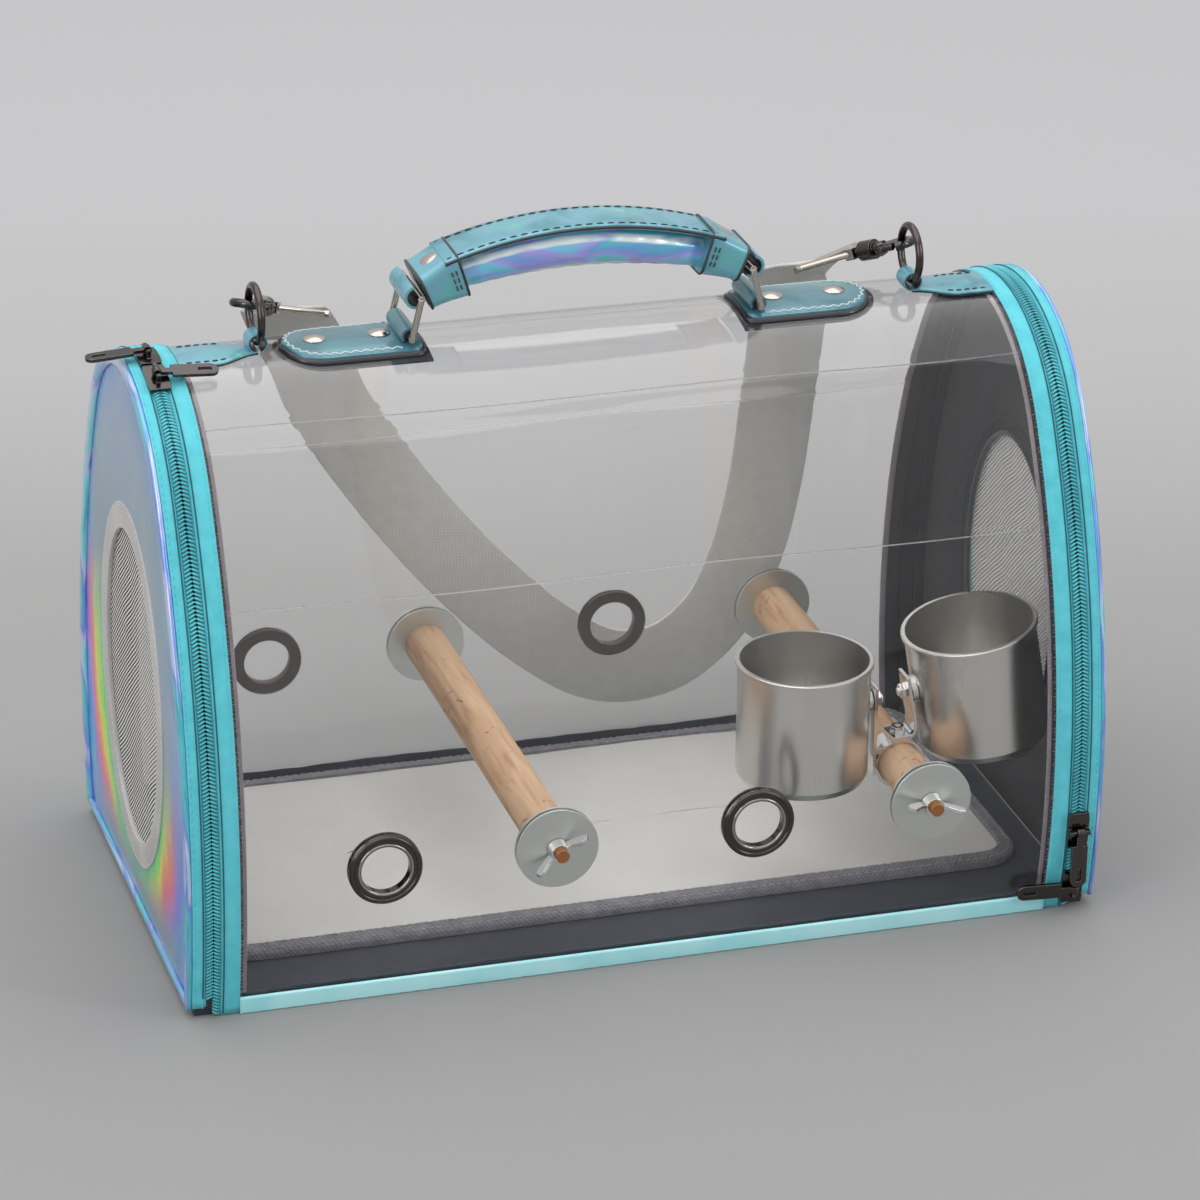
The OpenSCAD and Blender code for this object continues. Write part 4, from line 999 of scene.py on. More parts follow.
@dataclass
class ShoulderStrap:
    """The webbing that hangs behind the tunnel from one snap hook's eye to the other."""

    width: float = 38 * MM
    thick: float = 1.6 * MM
    start: tuple[float, float, float] = (-127.02, 46.97, 263.99)
    end: tuple[float, float, float] = (127.02, 46.97, 263.99)
    route: tuple[tuple[float, float, float], ...] = (
        (-119, 66, 250), (-104, 96, 223), (-90, 116, 190), (-72, 126, 160), (-48, 131, 125), (-18, 131, 88),
        (15, 131, 55), (48, 131, 33), (80, 131, 33), (106, 131, 53), (121, 131, 85), (129, 130, 122),
        (132, 126, 160), (131, 114, 196), (125, 92, 229), (115, 66, 250))
    outward: tuple[tuple[float, float, float], ...] = (
        (0, 0.2, 1), (0, 0.7, 0.7), (0, 0.9, 0.5), (0, 1, 0.3), (0, 1, 0.1), (0, 1, 0), (0, 1, 0), (0, 1, 0),
        (0, 1, 0), (0, 1, 0), (0, 1, 0), (0, 1, 0), (0, 1, 0.05), (0, 1, 0.15), (0, 1, 0.35), (0, 0.9, 0.6),
        (0, 0.7, 0.75), (0, 0.2, 1))

    def build(self) -> bpy.types.Object:
        """Weave the strap along its route.

        Returns:
            The strap.
        """
        path = catmull([Vector(p) * MM for p in (self.start, *self.route, self.end)], 8)
        faces = catmull([Vector(v) for v in self.outward], 8)
        half, t = self.width / 2, self.thick / 2
        outline = rounded([(-half, -t), (0, -t * 0.9), (half, -t), (half, t), (0, t * 0.9), (-half, t)], 0.7 * MM, 2)
        rows = []
        for i, point in enumerate(path):
            ahead = (path[min(i + 1, len(path) - 1)] - path[max(i - 1, 0)]).normalized()
            wide = ahead.cross(faces[i]).normalized()
            thin = wide.cross(ahead).normalized()
            rows.append([point + wide * a + thin * b for a, b in outline])
        made = Mesh("webbing_strap").add_rows(rows, around=True, ends=True).make()
        WEBBING.dress(made)
        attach(made, "carrier")
        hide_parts("shoulder_strap")
        return made


@dataclass
class TunnelCover:
    """The clear sheet over the tunnel, with its fold creases, and what is sewn along its edges."""

    half_len: float = 190 * MM
    thick: float = 1.2 * MM
    foot: float = 0.4 * MM
    crease_z: tuple[float, float] = (248 * MM, 181 * MM)
    crease_h: float = 0.9 * MM
    crease_w: float = 2.2 * MM
    sag: float = 1.3 * MM
    eyelet_hole: float = 12 * MM
    stud_hole: float = 3.4 * MM
    sill_h: float = 8.5 * MM
    sill_t: float = 2.2 * MM
    seam_z: tuple[float, float] = (3.8 * MM, 9.4 * MM)
    tape_in: float = 186 * MM

    def lift(self, x: float, s: float) -> float:
        """How far the sheet stands out or in at a place, from its creases and its slackness.

        Args:
            x: Place along the tunnel.
            s: Arc length from the front floor.

        Returns:
            Distance out along the normal.
        """
        edge = min(1.0, (self.half_len - abs(x)) / (30 * MM)) * min(1.0, min(s, SECTION.length - s) / (20 * MM))
        out = 0.0
        for z in self.crease_z:
            line = SECTION.height_at(z) if z < 224 * MM else self.top_arc(z)
            for d in (s - line, SECTION.length - s - line):
                wander = 0.7 * MM * math.sin(x * 31 + z * 90)
                out += self.crease_h * math.exp(-((d + wander) / self.crease_w) ** 2)
                out -= 0.4 * self.sag * math.exp(-((d + wander) / (14 * MM)) ** 2)
        wave = math.sin(x * 23 + s * 17) * math.sin(s * 29 - x * 9) + 0.5 * math.sin(x * 51 - s * 33)
        pucker = 0.25 * MM * math.sin(x * 420) * math.exp(-min(s, SECTION.length - s) / (16 * MM))
        return edge * (out - self.sag * 0.5 + 0.3 * self.sag * wave) + pucker * edge

    @staticmethod
    def top_arc(z: float) -> float:
        """Arc length at which the front of the top arc reaches the height z."""
        return SECTION.side_len + SECTION.top_r * (math.asin((z - SECTION.top_z) / SECTION.top_r) - SECTION.phi)

    def near_fitting(self, x: float, s: float, spots: Sequence[Vector]) -> float:
        """How free the sheet is at a place, from 0 at a fitting to 1 away from all of them."""
        point = SECTION.place(x, s, 0)
        return min(1.0, min(max(0.0, (point - spot).length - 22 * MM) / (25 * MM) for spot in spots))

    def sheet(self) -> bpy.types.Object:
        """Build the clear sheet with its holes for the eyelets and the perch studs."""
        belly = SECTION.half_depth
        eyelets = [(x, side) for x in self.centres("eyelets") for side in (-1, 1)]
        studs = [(x, side) for x in self.centres("perch_studs") for side in (-1, 1)]
        spots = [Vector((x, side * belly, SECTION.belly_z)) for x, side in (*eyelets, *studs)]
        low = SECTION.height_at(self.foot)
        count_s, count_x = 200, 96
        outer, inner = [], []
        for i in range(count_s + 1):
            s = low + (SECTION.length - 2 * low) * i / count_s
            xs = [self.half_len * (2 * j / count_x - 1) for j in range(count_x + 1)]
            apex = min(1.0, max(0.0, (abs(s - SECTION.length / 2) - 20 * MM) / (50 * MM)))
            top = 0.15 + 0.85 * apex * apex * (3 - 2 * apex)
            lifts = [self.lift(x, s) * self.near_fitting(x, s, spots) * top for x in xs]
            outer.append([SECTION.place(x, s, min(0.0, -0.05 * MM + d)) if abs(x) > self.tape_in - 4 * MM
                          else SECTION.place(x, s, -0.05 * MM + d) for x, d in zip(xs, lifts)])
            inner.append([SECTION.place(x, s, -self.thick + d) for x, d in zip(xs, lifts)])
        rows = [a + list(reversed(b)) for a, b in zip(outer, inner)]
        made = Mesh("clear_sheet").add_rows(rows, around=True, ends=True).flip().make()
        cutter = Mesh("hole_cutter")
        for radius, places in ((self.eyelet_hole, eyelets), (self.stud_hole, studs)):
            for x, side in places:
                ends = [Vector((x, side * (belly + d), 64 * MM)) for d in (-8 * MM, 6 * MM)]
                cutter.add_tube(ends, radius, sides=48)
        tool = cutter.make()
        add_modifier(made, "BOOLEAN", operation="DIFFERENCE", object=tool, solver="EXACT")
        apply_modifiers(made)
        bpy.data.objects.remove(tool)
        CLEAR.dress(made)
        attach(made, "carrier")
        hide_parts("clear_cover")
        return made

    @staticmethod
    def centres(node: str) -> tuple[float, float]:
        """The X places of the two fittings that share one node."""
        xs = sorted(v.co.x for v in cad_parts[node].data.vertices)
        middle = (xs[0] + xs[-1]) / 2
        left = [x for x in xs if x < middle]
        right = [x for x in xs if x > middle]
        return (left[0] + left[-1]) / 2, (right[0] + right[-1]) / 2

    def piping(self, front: bool) -> bpy.types.Object:
        """Build the light piping along one foot of the sheet, puckered by its stitching."""
        name = ("front" if front else "rear") + "_piping"
        top = SECTION.height_at(self.sill_h)
        bottom = SECTION.height_at(0.05 * MM)
        outline = rounded([(bottom, 0.0), (bottom, self.sill_t), (top, self.sill_t * 0.9), (top, 0.15 * MM)],
                          0.9 * MM, 4)
        ridge = SECTION.height_at(self.sill_h - 1.7 * MM)
        rows = []
        count = 186
        for i in range(count + 1):
            x = self.tape_in * (2 * i / count - 1)
            tug = 0.1 * MM * math.sin(x * 900)
            row = []
            for s, out in outline:
                groove = 0.5 * MM * math.exp(-((s - ridge) / (0.55 * MM)) ** 2) if out > 0.5 * MM else 0.0
                place = s if front else SECTION.length - s
                row.append(SECTION.place(x, place, max(0.0, out - groove + (tug if out > 1.2 * MM else 0))))
            rows.append(row)
        made = Mesh(name).add_rows(rows, around=True, ends=True)
        made = (made if front else made.flip()).make()
        PIPING.dress(made)
        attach(made, "carrier")
        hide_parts("front_sill" if front else "rear_sill")
        thread = Mesh(name + "_stitches")
        place = ridge if front else SECTION.length - ridge
        point, normal = SECTION.at(place)
        reach = self.tape_in - 2 * MM
        seam = [(Vector((x, 0, 0)) + point + normal * (self.sill_t - 0.75 * MM), normal) for x in (-reach, reach)]
        stitch_line(thread, seam, length=3 * MM, gap=1.2 * MM, radius=0.3 * MM)
        sewn = thread.make()
        PALE_THREAD.dress(sewn)
        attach(sewn, "carrier")
        return made

    def seam_tape(self, front: bool) -> None:
        """Build the slate tape that covers the seam inside one foot of the sheet."""
        bottom, top = SECTION.height_at(self.seam_z[0]), SECTION.height_at(self.seam_z[1])
        outline = rounded([(bottom, -1.95 * MM), (bottom, -1.3 * MM), (top, -1.3 * MM), (top, -1.8 * MM)], 0.2 * MM, 2)
        rows = []
        for i in range(125):
            x = self.tape_in * (i / 62 - 1)
            sway = 0.25 * MM * math.sin(x * 70) + 0.12 * MM * math.sin(x * 310)
            places = [s + (sway if s > (bottom + top) / 2 else 0.0) for s, _ in outline]
            rows.append([SECTION.place(x, s if front else SECTION.length - s, out)
                         for s, (_, out) in zip(places, outline)])
        mesh = Mesh(("front" if front else "rear") + "_seam_tape").add_rows(rows, around=True, ends=True)
        made = (mesh if front else mesh.flip()).make()
        BOARD.dress(made)
        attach(made, "carrier")

    def folds(self) -> None:
        """Build the clouded line along each fold crease of the sheet."""
        mesh = Mesh("fold_lines")
        for z in self.crease_z:
            line = SECTION.height_at(z) if z < 224 * MM else self.top_arc(z)
            for middle in (line, SECTION.length - line):
                path = []
                for i in range(90):
                    x = (self.tape_in - 2 * MM) * (2 * i / 89 - 1)
                    s = middle - 0.7 * MM * math.sin(x * 31 + z * 90) * (1 if middle == line else -1)
                    path.append(SECTION.place(x, s, self.lift(x, s) - 0.1 * MM))
                mesh.add_tube(path, 0.3 * MM, sides=6)
        made = mesh.make()
        CLEAR_FOLD.dress(made)
        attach(made, "carrier")

    def eyelet_rims(self) -> None:
        """Build the rolled rim and the inner lip of each eyelet; the lip's lighter metal is a painted highlight ring.
        """
        rims, lips = Mesh("eyelet_rims"), Mesh("eyelet_lips")
        for x in self.centres("eyelets"):
            for side in (-1, 1):
                face = side * (SECTION.half_depth + 1.3 * MM)
                for mesh, radius, thick, sunk in ((rims, 14.9 * MM, 1.15 * MM, 0.5 * MM), (lips, 11.9 * MM, 0.75 * MM, 0.3 * MM)):
                    turns = [2 * math.pi * k / 64 for k in range(64)]
                    mesh.add_tube([Vector((x + radius * math.cos(t), face - side * sunk, 64 * MM + radius * math.sin(t)))
                                   for t in turns], thick, sides=10, closed=True)
        for mesh, finish in ((rims, GUNMETAL), (lips, LIP_HIGHLIGHT_METAL)):
            made = mesh.make()
            finish.dress(made)
            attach(made, "carrier")

    def build(self) -> None:
        """Build the sheet with its folds and eyelet rims, and the piping and seam tape along its two feet."""
        self.sheet()
        self.folds()
        self.eyelet_rims()
        for front in (True, False):
            self.piping(front)
            self.seam_tape(front)
        LOG.info("tunnel cover: sheet with %d creases, two piped feet", len(self.crease_z))


def apply_modifiers(obj: bpy.types.Object) -> None:
    """Bake a piece's modifiers into its mesh."""
    graph = bpy.context.evaluated_depsgraph_get()
    data = bpy.data.meshes.new_from_object(obj.evaluated_get(graph), depsgraph=graph)
    obj.modifiers.clear()
    obj.data = data
    data.polygons.foreach_set("use_smooth", [True] * len(data.polygons))


@dataclass
class ZipRun:
    """One end's zip: the tape and coil sewn to the tunnel, and those sewn to the door."""

    end: End
    tape_in: float = 186 * MM
    coil_in: float = 195 * MM
    middle: float = 198.1 * MM
    coil_out: float = 201.2 * MM
    tape_out: float = 207.3 * MM
    tape_t: float = 1.0 * MM
    coil_lo: float = -0.7 * MM
    coil_hi: float = 1.7 * MM
    pitch: float = 1.75 * MM
    body_foot: float = 0.4 * MM
    door_foot: float = 9.8 * MM
    tape_foot: float = 5.4 * MM

    def sided(self, profile: Profile) -> list[tuple[float, float]]:
        """Turn an outline for the right end into one for this end."""
        if self.end is End.RIGHT:
            return list(profile)
        return [(-x, out) for x, out in reversed(profile)]

    def strip(self, name: str, profile: Profile, foot: float, finish: Finish, body: str, corner: float = 0.25 * MM,
              sway: Callable[[float], float] | None = None) -> bpy.types.Object:
        """Run a strip of the given outline round the tunnel.

        Args:
            name: The piece's name.
            profile: Its outline for the right end.
            foot: Height of its two feet.
            finish: Its finish.
            body: The body that it rides on.
            corner: How far its corners are rounded.
            sway: How far it moves out at an arc length.

        Returns:
            The piece.
        """
        low = SECTION.height_at(foot)
        rows = arch_rows(rounded(self.sided(profile), corner, 2), low, SECTION.length - low, 3.5 * MM, sway)
        made = Mesh(f"{self.end.side}_{name}").add_rows(rows, around=True, ends=True).flip().make()
        finish.dress(made)
        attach(made, body)
        return made

    def teeth(self, name: str, start: float, stop: float, foot: float, body: str) -> bpy.types.Object:
        """Wind the coil: one bent thread of plastic for each tooth."""
        mesh = Mesh(f"{self.end.side}_{name}")
        low = SECTION.height_at(foot)
        count = int((SECTION.length - 2 * low) / self.pitch)
        sign, r = self.end.value, 0.5 * MM
        far = start + (stop - start) * 0.16
        for i in range(count):
            s = low + (i + 0.5) * self.pitch
            lean = 0.35 * self.pitch
            top = self.coil_hi - r
            spots = ((start, s - lean, 0.2 * MM), (far, s - lean, top - 0.25 * MM),
                     ((start + stop) / 2, s, top), (stop - (stop - start) * 0.1, s + lean, top - 0.2 * MM),
                     (stop, s + lean, 0.1 * MM))
            mesh.add_tube([SECTION.place(sign * x, place, out) for x, place, out in spots], r, sides=6)
        made = mesh.make()
        COIL.dress(made)
        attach(made, body)
        return made

    def build(self) -> None:
        """Build both halves of the zip."""
        t, side = self.tape_t, self.end.side
        a, b, m = self.tape_in, self.coil_in, self.middle
        body_tape = self.strip("body_tape", [(a, 0.1 * MM), (a, t), (b - 2.4 * MM, t), (b - 1.9 * MM, 1.3 * t),
                                             (b - 1.1 * MM, 1.3 * t), (b - 0.7 * MM, 0.55 * t), (b + 0.3 * MM, 0.5 * t),
                                             (b + 0.3 * MM, 0.05 * MM)], self.body_foot, TAPE, "carrier")
        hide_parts(f"{side}_body_zip")
        # Cord under the teeth, darkened to paint the shade between them.
        self.strip("body_coil_core_shade", [(b - 0.2 * MM, self.coil_lo), (b - 0.2 * MM, 0.9 * MM), (m - 0.9 * MM, 0.9 * MM),
                                      (m - 0.5 * MM, self.coil_lo)], self.body_foot, CORE_SHADE, "carrier")
        self.teeth("body_coil", b - 0.1 * MM, m - 0.15 * MM, self.body_foot + 0.6 * MM, "carrier")
        c, d = self.coil_out, self.tape_out
        door_tape = self.strip("door_tape", [(c - 0.3 * MM, 0.05 * MM), (c - 0.3 * MM, 0.5 * t), (c + 0.7 * MM, 0.55 * t),
                                             (c + 1.0 * MM, 1.3 * t), (c + 1.8 * MM, 1.3 * t), (c + 2.2 * MM, t), (d, t),
                                             (d, 0.05 * MM)], self.tape_foot, TAPE, self.end.door)
        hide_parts(f"{side}_door_zip")
        self.strip("door_coil_core_shade", [(m + 0.5 * MM, self.coil_lo), (m + 0.9 * MM, 0.9 * MM), (c + 0.2 * MM, 0.9 * MM),
                                      (c + 0.2 * MM, self.coil_lo)], self.door_foot, CORE_SHADE, self.end.door)
        self.strip("body_tape_lining", [(b - 2.9 * MM, -0.75 * MM), (b - 2.9 * MM, -0.2 * MM), (b - 0.3 * MM, -0.2 * MM),
                                        (b - 0.3 * MM, -0.75 * MM)], 3.9 * MM, LINING, "carrier")
        self.strip("zip_guard", [(b - 1.2 * MM, -1.15 * MM), (b - 1.2 * MM, -0.8 * MM), (m + 2.6 * MM, -0.8 * MM),
                                 (m + 2.6 * MM, -1.15 * MM)], 10.5 * MM, LINING, "carrier")
        self.strip("door_tape_lining", [(c + 0.3 * MM, -0.6 * MM), (c + 0.3 * MM, -0.1 * MM), (d - 0.2 * MM, -0.1 * MM),
                                        (d - 0.2 * MM, -0.6 * MM)], self.door_foot, LINING, self.end.door)
        self.teeth("door_coil", c + 0.1 * MM, m + 0.15 * MM, self.door_foot, self.end.door)
        facing = self.strip("facing_strip", [(a - 1.5 * MM, -1.3 * MM), (b - 2.7 * MM, -1.3 * MM),
                                             (b - 2.7 * MM, -2.1 * MM), (a - 1.5 * MM, -2.1 * MM)][::-1],
                            3.8 * MM, FACING, "carrier")
        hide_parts(f"{side}_facing")
        self.strip("seam_binding", [(a - 3.2 * MM, -2.4 * MM), (a - 3.4 * MM, -1.35 * MM), (a - 0.3 * MM, -1.3 * MM),
                                    (a - 0.2 * MM, -2.6 * MM)], 3.9 * MM, BINDING, "carrier", 0.6 * MM,
                   lambda s: 0.12 * MM * math.sin(s * 900) - 0.1 * MM)
        for name, x, foot, body in (("body_guide", b - 1.5 * MM, self.body_foot, "carrier"),
                                    ("door_guide", c + 1.4 * MM, self.door_foot, self.end.door)):
            low = SECTION.height_at(foot + 1 * MM)
            line = [SECTION.place(self.end.value * x, low + (SECTION.length - 2 * low) * i / 200, 1.35 * t)
                    for i in range(201)]
            guide = Mesh(f"{side}_{name}").add_tube(line, 0.38 * MM, sides=6).make()
            GUIDE.dress(guide)
            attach(guide, body)
        for name, x, foot, body in (("body_tape_stitches", a + 1.4 * MM, 1.2 * MM, "carrier"),
                                    ("door_tape_stitches", d - 1.2 * MM, self.tape_foot + 1 * MM, self.end.door)):
            low = SECTION.height_at(foot)
            path = []
            for i in range(180):
                s = low + (SECTION.length - 2 * low) * i / 179
                path.append((SECTION.place(self.end.value * x, s, t - 0.05 * MM), SECTION.at(s)[1]))
            thread = Mesh(f"{side}_{name}")
            stitch_line(thread, path, length=2.4 * MM, gap=1.2 * MM, radius=0.2 * MM)
            sewn = thread.make()
            TAPE.dress(sewn)
            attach(sewn, body)
        self.fringe()
        LOG.info("%s zip: tapes, coils, facing and binding", side)

    def fringe(self) -> None:
        """Fray the tape's inner edge with short fibres."""
        mesh = Mesh(f"{self.end.side}_tape_fringe")
        low = SECTION.height_at(4 * MM)
        count = 420
        for i in range(count):
            s = low + (SECTION.length - 2 * low) * i / (count - 1)
            reach = (0.9 + 0.6 * math.sin(i * 2.4) * math.sin(i * 0.7)) * MM
            lean = 0.8 * MM * math.sin(i * 5.1)
            spots = ((self.tape_in + 0.5 * MM, s, 0.85 * MM), (self.tape_in - reach, s + lean, 0.35 * MM))
            mesh.add_tube([SECTION.place(self.end.value * x, at, out) for x, at, out in spots],
                          [0.24 * MM, 0.1 * MM], sides=4)
        made = mesh.make()
        BINDING.dress(made)
        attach(made, "carrier")


@dataclass
class EndDoor:
    """A door panel of rainbow film with its welt, lining, window trim and netting."""

    end: End
    face: float = 207.4 * MM
    inside: float = 205.85 * MM
    lining_in: float = 204.65 * MM
    rim: float = 209.95 * MM
    foot: float = 4.65 * MM
    strip_top: float = 8.0 * MM
    window_w: float = 64 * MM
    window_h: float = 85 * MM
    window_z: float = 111 * MM
    trim_w: float = 12 * MM
    bulge: float = 1.1 * MM

    def outline(self, out: float, foot: float, count: int = 240) -> list[Vector]:
        """Points round the door at X = 0, from the front foot over the top and back along the bottom.

        Args:
            out: Distance out from the section.
            foot: Height of the bottom edge.
            count: Points over the arch.

        Returns:
            The points.
        """
        low = SECTION.height_at(foot)
        arch = [SECTION.place(0, low + (SECTION.length - 2 * low) * i / count, out) for i in range(count + 1)]
        first, last = arch[0], arch[-1]
        return arch + [last.lerp(first, k / 60) for k in range(1, 60)]

    def oval_at(self, angle: float, grow: float = 0.0) -> Vector:
        """The point of the window's opening in a direction, grown by a distance."""
        w = self.window_w - self.trim_w + grow
        h = self.window_h - self.trim_w + grow
        return Vector((0, w * math.cos(angle), self.window_z + h * math.sin(angle)))

    def disc(self, name: str, front: Callable[[float, float], float], back: float, out: float, foot: float,
             rings: int = 16) -> Mesh:
        """A sheet between the window's opening and the door's outline.

        Args:
            name: The piece's name.
            front: X of the outer face, from the fraction outwards and the direction.
            back: X of the inner face.
            out: Distance of its edge out from the section.
            foot: Height of its bottom edge.
            rings: Rings between the opening and the edge.

        Returns:
            The closed mesh.
        """
        rows: list[list[Vector]] = []
        for point in self.outline(out, foot):
            angle = math.atan2((point.z - self.window_z) / self.window_h, point.y / self.window_w)
            start = self.oval_at(angle, 1.5 * MM)
            line = []
            for k in range(rings + 1):
                t = k / rings
                spot = start.lerp(point, t)
                line.append(Vector((self.end.value * front(t, angle), spot.y, spot.z)))
            line += [Vector((self.end.value * back, start.lerp(point, t).y, start.lerp(point, t).z))
                     for t in (1.0, 0.5, 0.0)]
            rows.append(line)
        rows.append(rows[0])
        mesh = Mesh(name).add_rows(rows, around=True)
        return mesh.flip() if self.end is End.LEFT else mesh

    def panel(self) -> bpy.types.Object:
        """Build the film panel, full in the middle and puckered at its welt."""
        def front(t: float, angle: float) -> float:
            """X of the film's outer face."""
            full = self.bulge * math.sin(math.pi * min(1.0, t)) ** 0.8
            pucker = 0.16 * MM * math.sin(angle * 70) * math.exp(-(1 - t) / 0.07)
            roll = 0.22 * MM * math.sin(angle * 5 + t * 6)
            return self.face + full + pucker + roll * math.sin(math.pi * t)
        made = self.disc(f"{self.end.side}_door_film", front, self.inside, -2.4 * MM, self.foot + 0.4 * MM).make()
        DOOR_FILM.dress(made)
        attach(made, self.end.door)
        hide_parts(f"{self.end.side}_door_panel")
        return made

    def welt(self) -> None:
        """Build the rounded welt over the arch and the strip along the bottom."""
        a, b = self.face - 0.05 * MM, self.rim
        outline = [(a, 1.45 * MM), (b - 0.5 * MM, 1.2 * MM), (b, -0.4 * MM), (b - 0.05 * MM, -3.2 * MM),
                   (b - 0.8 * MM, -5.4 * MM), (a, -5.8 * MM)]
        zip_run = ZipRun(self.end)
        zip_run.strip("door_welt", outline, self.foot, WELT_FILM, self.end.door, 0.9 * MM,
                      lambda s: 0.1 * MM * math.sin(s * 260) - 0.05 * MM)
        reach = SECTION.half_depth_at(self.foot + 1 * MM) - 1.5 * MM
        corners = [(a, self.foot), (b - 0.3 * MM, self.foot), (b, self.strip_top - 1.4 * MM),
                   (b - 0.8 * MM, self.strip_top), (a, self.strip_top)]
        rows = []
        for i in range(61):
            y = reach * (2 * i / 60 - 1)
            rows.append([Vector((self.end.value * x, y, z)) for x, z in rounded(corners, 0.8 * MM, 3)])
        mesh = Mesh(f"{self.end.side}_door_bottom_strip").add_rows(rows, around=True, ends=True)
        made = (mesh.flip() if self.end is End.LEFT else mesh).make()
        WELT_FILM.dress(made)
        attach(made, self.end.door)

    def lining(self) -> None:
        """Build the dark lining, with a bound edge round the window."""
        made = self.disc(f"{self.end.side}_lining_cloth", lambda t, angle: self.inside - 0.05 * MM, self.lining_in,
                         -3.2 * MM, self.foot + 0.2 * MM, 8).make()
        LINING.dress(made)
        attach(made, self.end.door)
        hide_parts(f"{self.end.side}_door_lining")
        for name, grow, r, finish in (("lining_bead", 1.6, 1.1, BACKING), ("lining_seam", 9.0, 0.45, LINING)):
            bead = Mesh(f"{self.end.side}_{name}")
            path = [self.oval_at(2 * math.pi * i / 120, grow * MM) for i in range(120)]
            x = self.end.value * self.lining_in
            bead.add_tube([Vector((x, p.y, p.z)) for p in path], r * MM, sides=8, closed=True)
            tube = bead.make()
            finish.dress(tube)
            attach(tube, self.end.door)

    def window(self) -> None:
        """Build the window's stitched trim and its netting."""
        sign = self.end.value
        corners = [(0.0, -1.0 * MM), (0.0, 1.15 * MM), (self.trim_w, 1.15 * MM), (self.trim_w, 0.0),
                   (1.3 * MM, 0.0), (1.3 * MM, -1.0 * MM)]
        profile = rounded(corners, 0.6 * MM, 4)
        rows = []
        for i in range(145):
            angle = 2 * math.pi * i / 144
            row = []
            for across, up in profile:
                dip = 0.35 * MM * math.exp(-((across - 1.6 * MM) / (0.7 * MM)) ** 2) if up > 0.9 * MM else 0
                dip += 0.35 * MM * math.exp(-((across - self.trim_w + 1.6 * MM) / (0.7 * MM)) ** 2) if up > 0.9 * MM else 0
                spot = self.oval_at(angle, across)
                row.append(Vector((sign * (self.face + 0.15 * MM + up - dip), spot.y, spot.z)))
            rows.append(row)
        mesh = Mesh(f"{self.end.side}_trim_ring").add_rows(rows, around=True)
        made = (mesh.flip() if self.end is End.RIGHT else mesh).make()
        TRIM.dress(made)
        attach(made, self.end.door)
        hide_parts(f"{self.end.side}_window_trim")
        thread = Mesh(f"{self.end.side}_trim_stitches")
        for across in (1.6 * MM, self.trim_w - 1.6 * MM):
            spots = [self.oval_at(2 * math.pi * i / 160, across) for i in range(161)]
            seam = [(Vector((sign * (self.face + 1.0 * MM), p.y, p.z)), Vector((sign, 0, 0))) for p in spots]
            stitch_line(thread, seam, 2.6 * MM, 1.3 * MM, 0.22 * MM)
        sewn = thread.make()
        PALE_THREAD.dress(sewn)
        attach(sewn, self.end.door)
        rings, spokes = 14, 96
        grid = []
        for k in range(rings + 1):
            t = k / rings
            ring = []
            for i in range(spokes):
                spot = self.oval_at(2 * math.pi * i / spokes, 1.5 * MM)
                centre = Vector((0, 0, self.window_z))
                place = centre.lerp(spot, t)
                bow = 0.5 * MM * (1 - t * t) * math.sin(place.y * 60 + place.z * 40)
                ring.append(Vector((sign * (206.6 * MM + bow), place.y, place.z)))
            grid.append(ring)
        net = Mesh(f"{self.end.side}_netting").add_rows(grid, around=True).make()
        NET.dress(net)
        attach(net, self.end.door)
        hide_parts(f"{self.end.side}_window_mesh")

    def build(self) -> None:
        """Build the whole door."""
        self.panel()
        self.welt()
        self.lining()
        self.window()
        LOG.info("%s door: film, welt, lining, trim and netting", self.end.side)


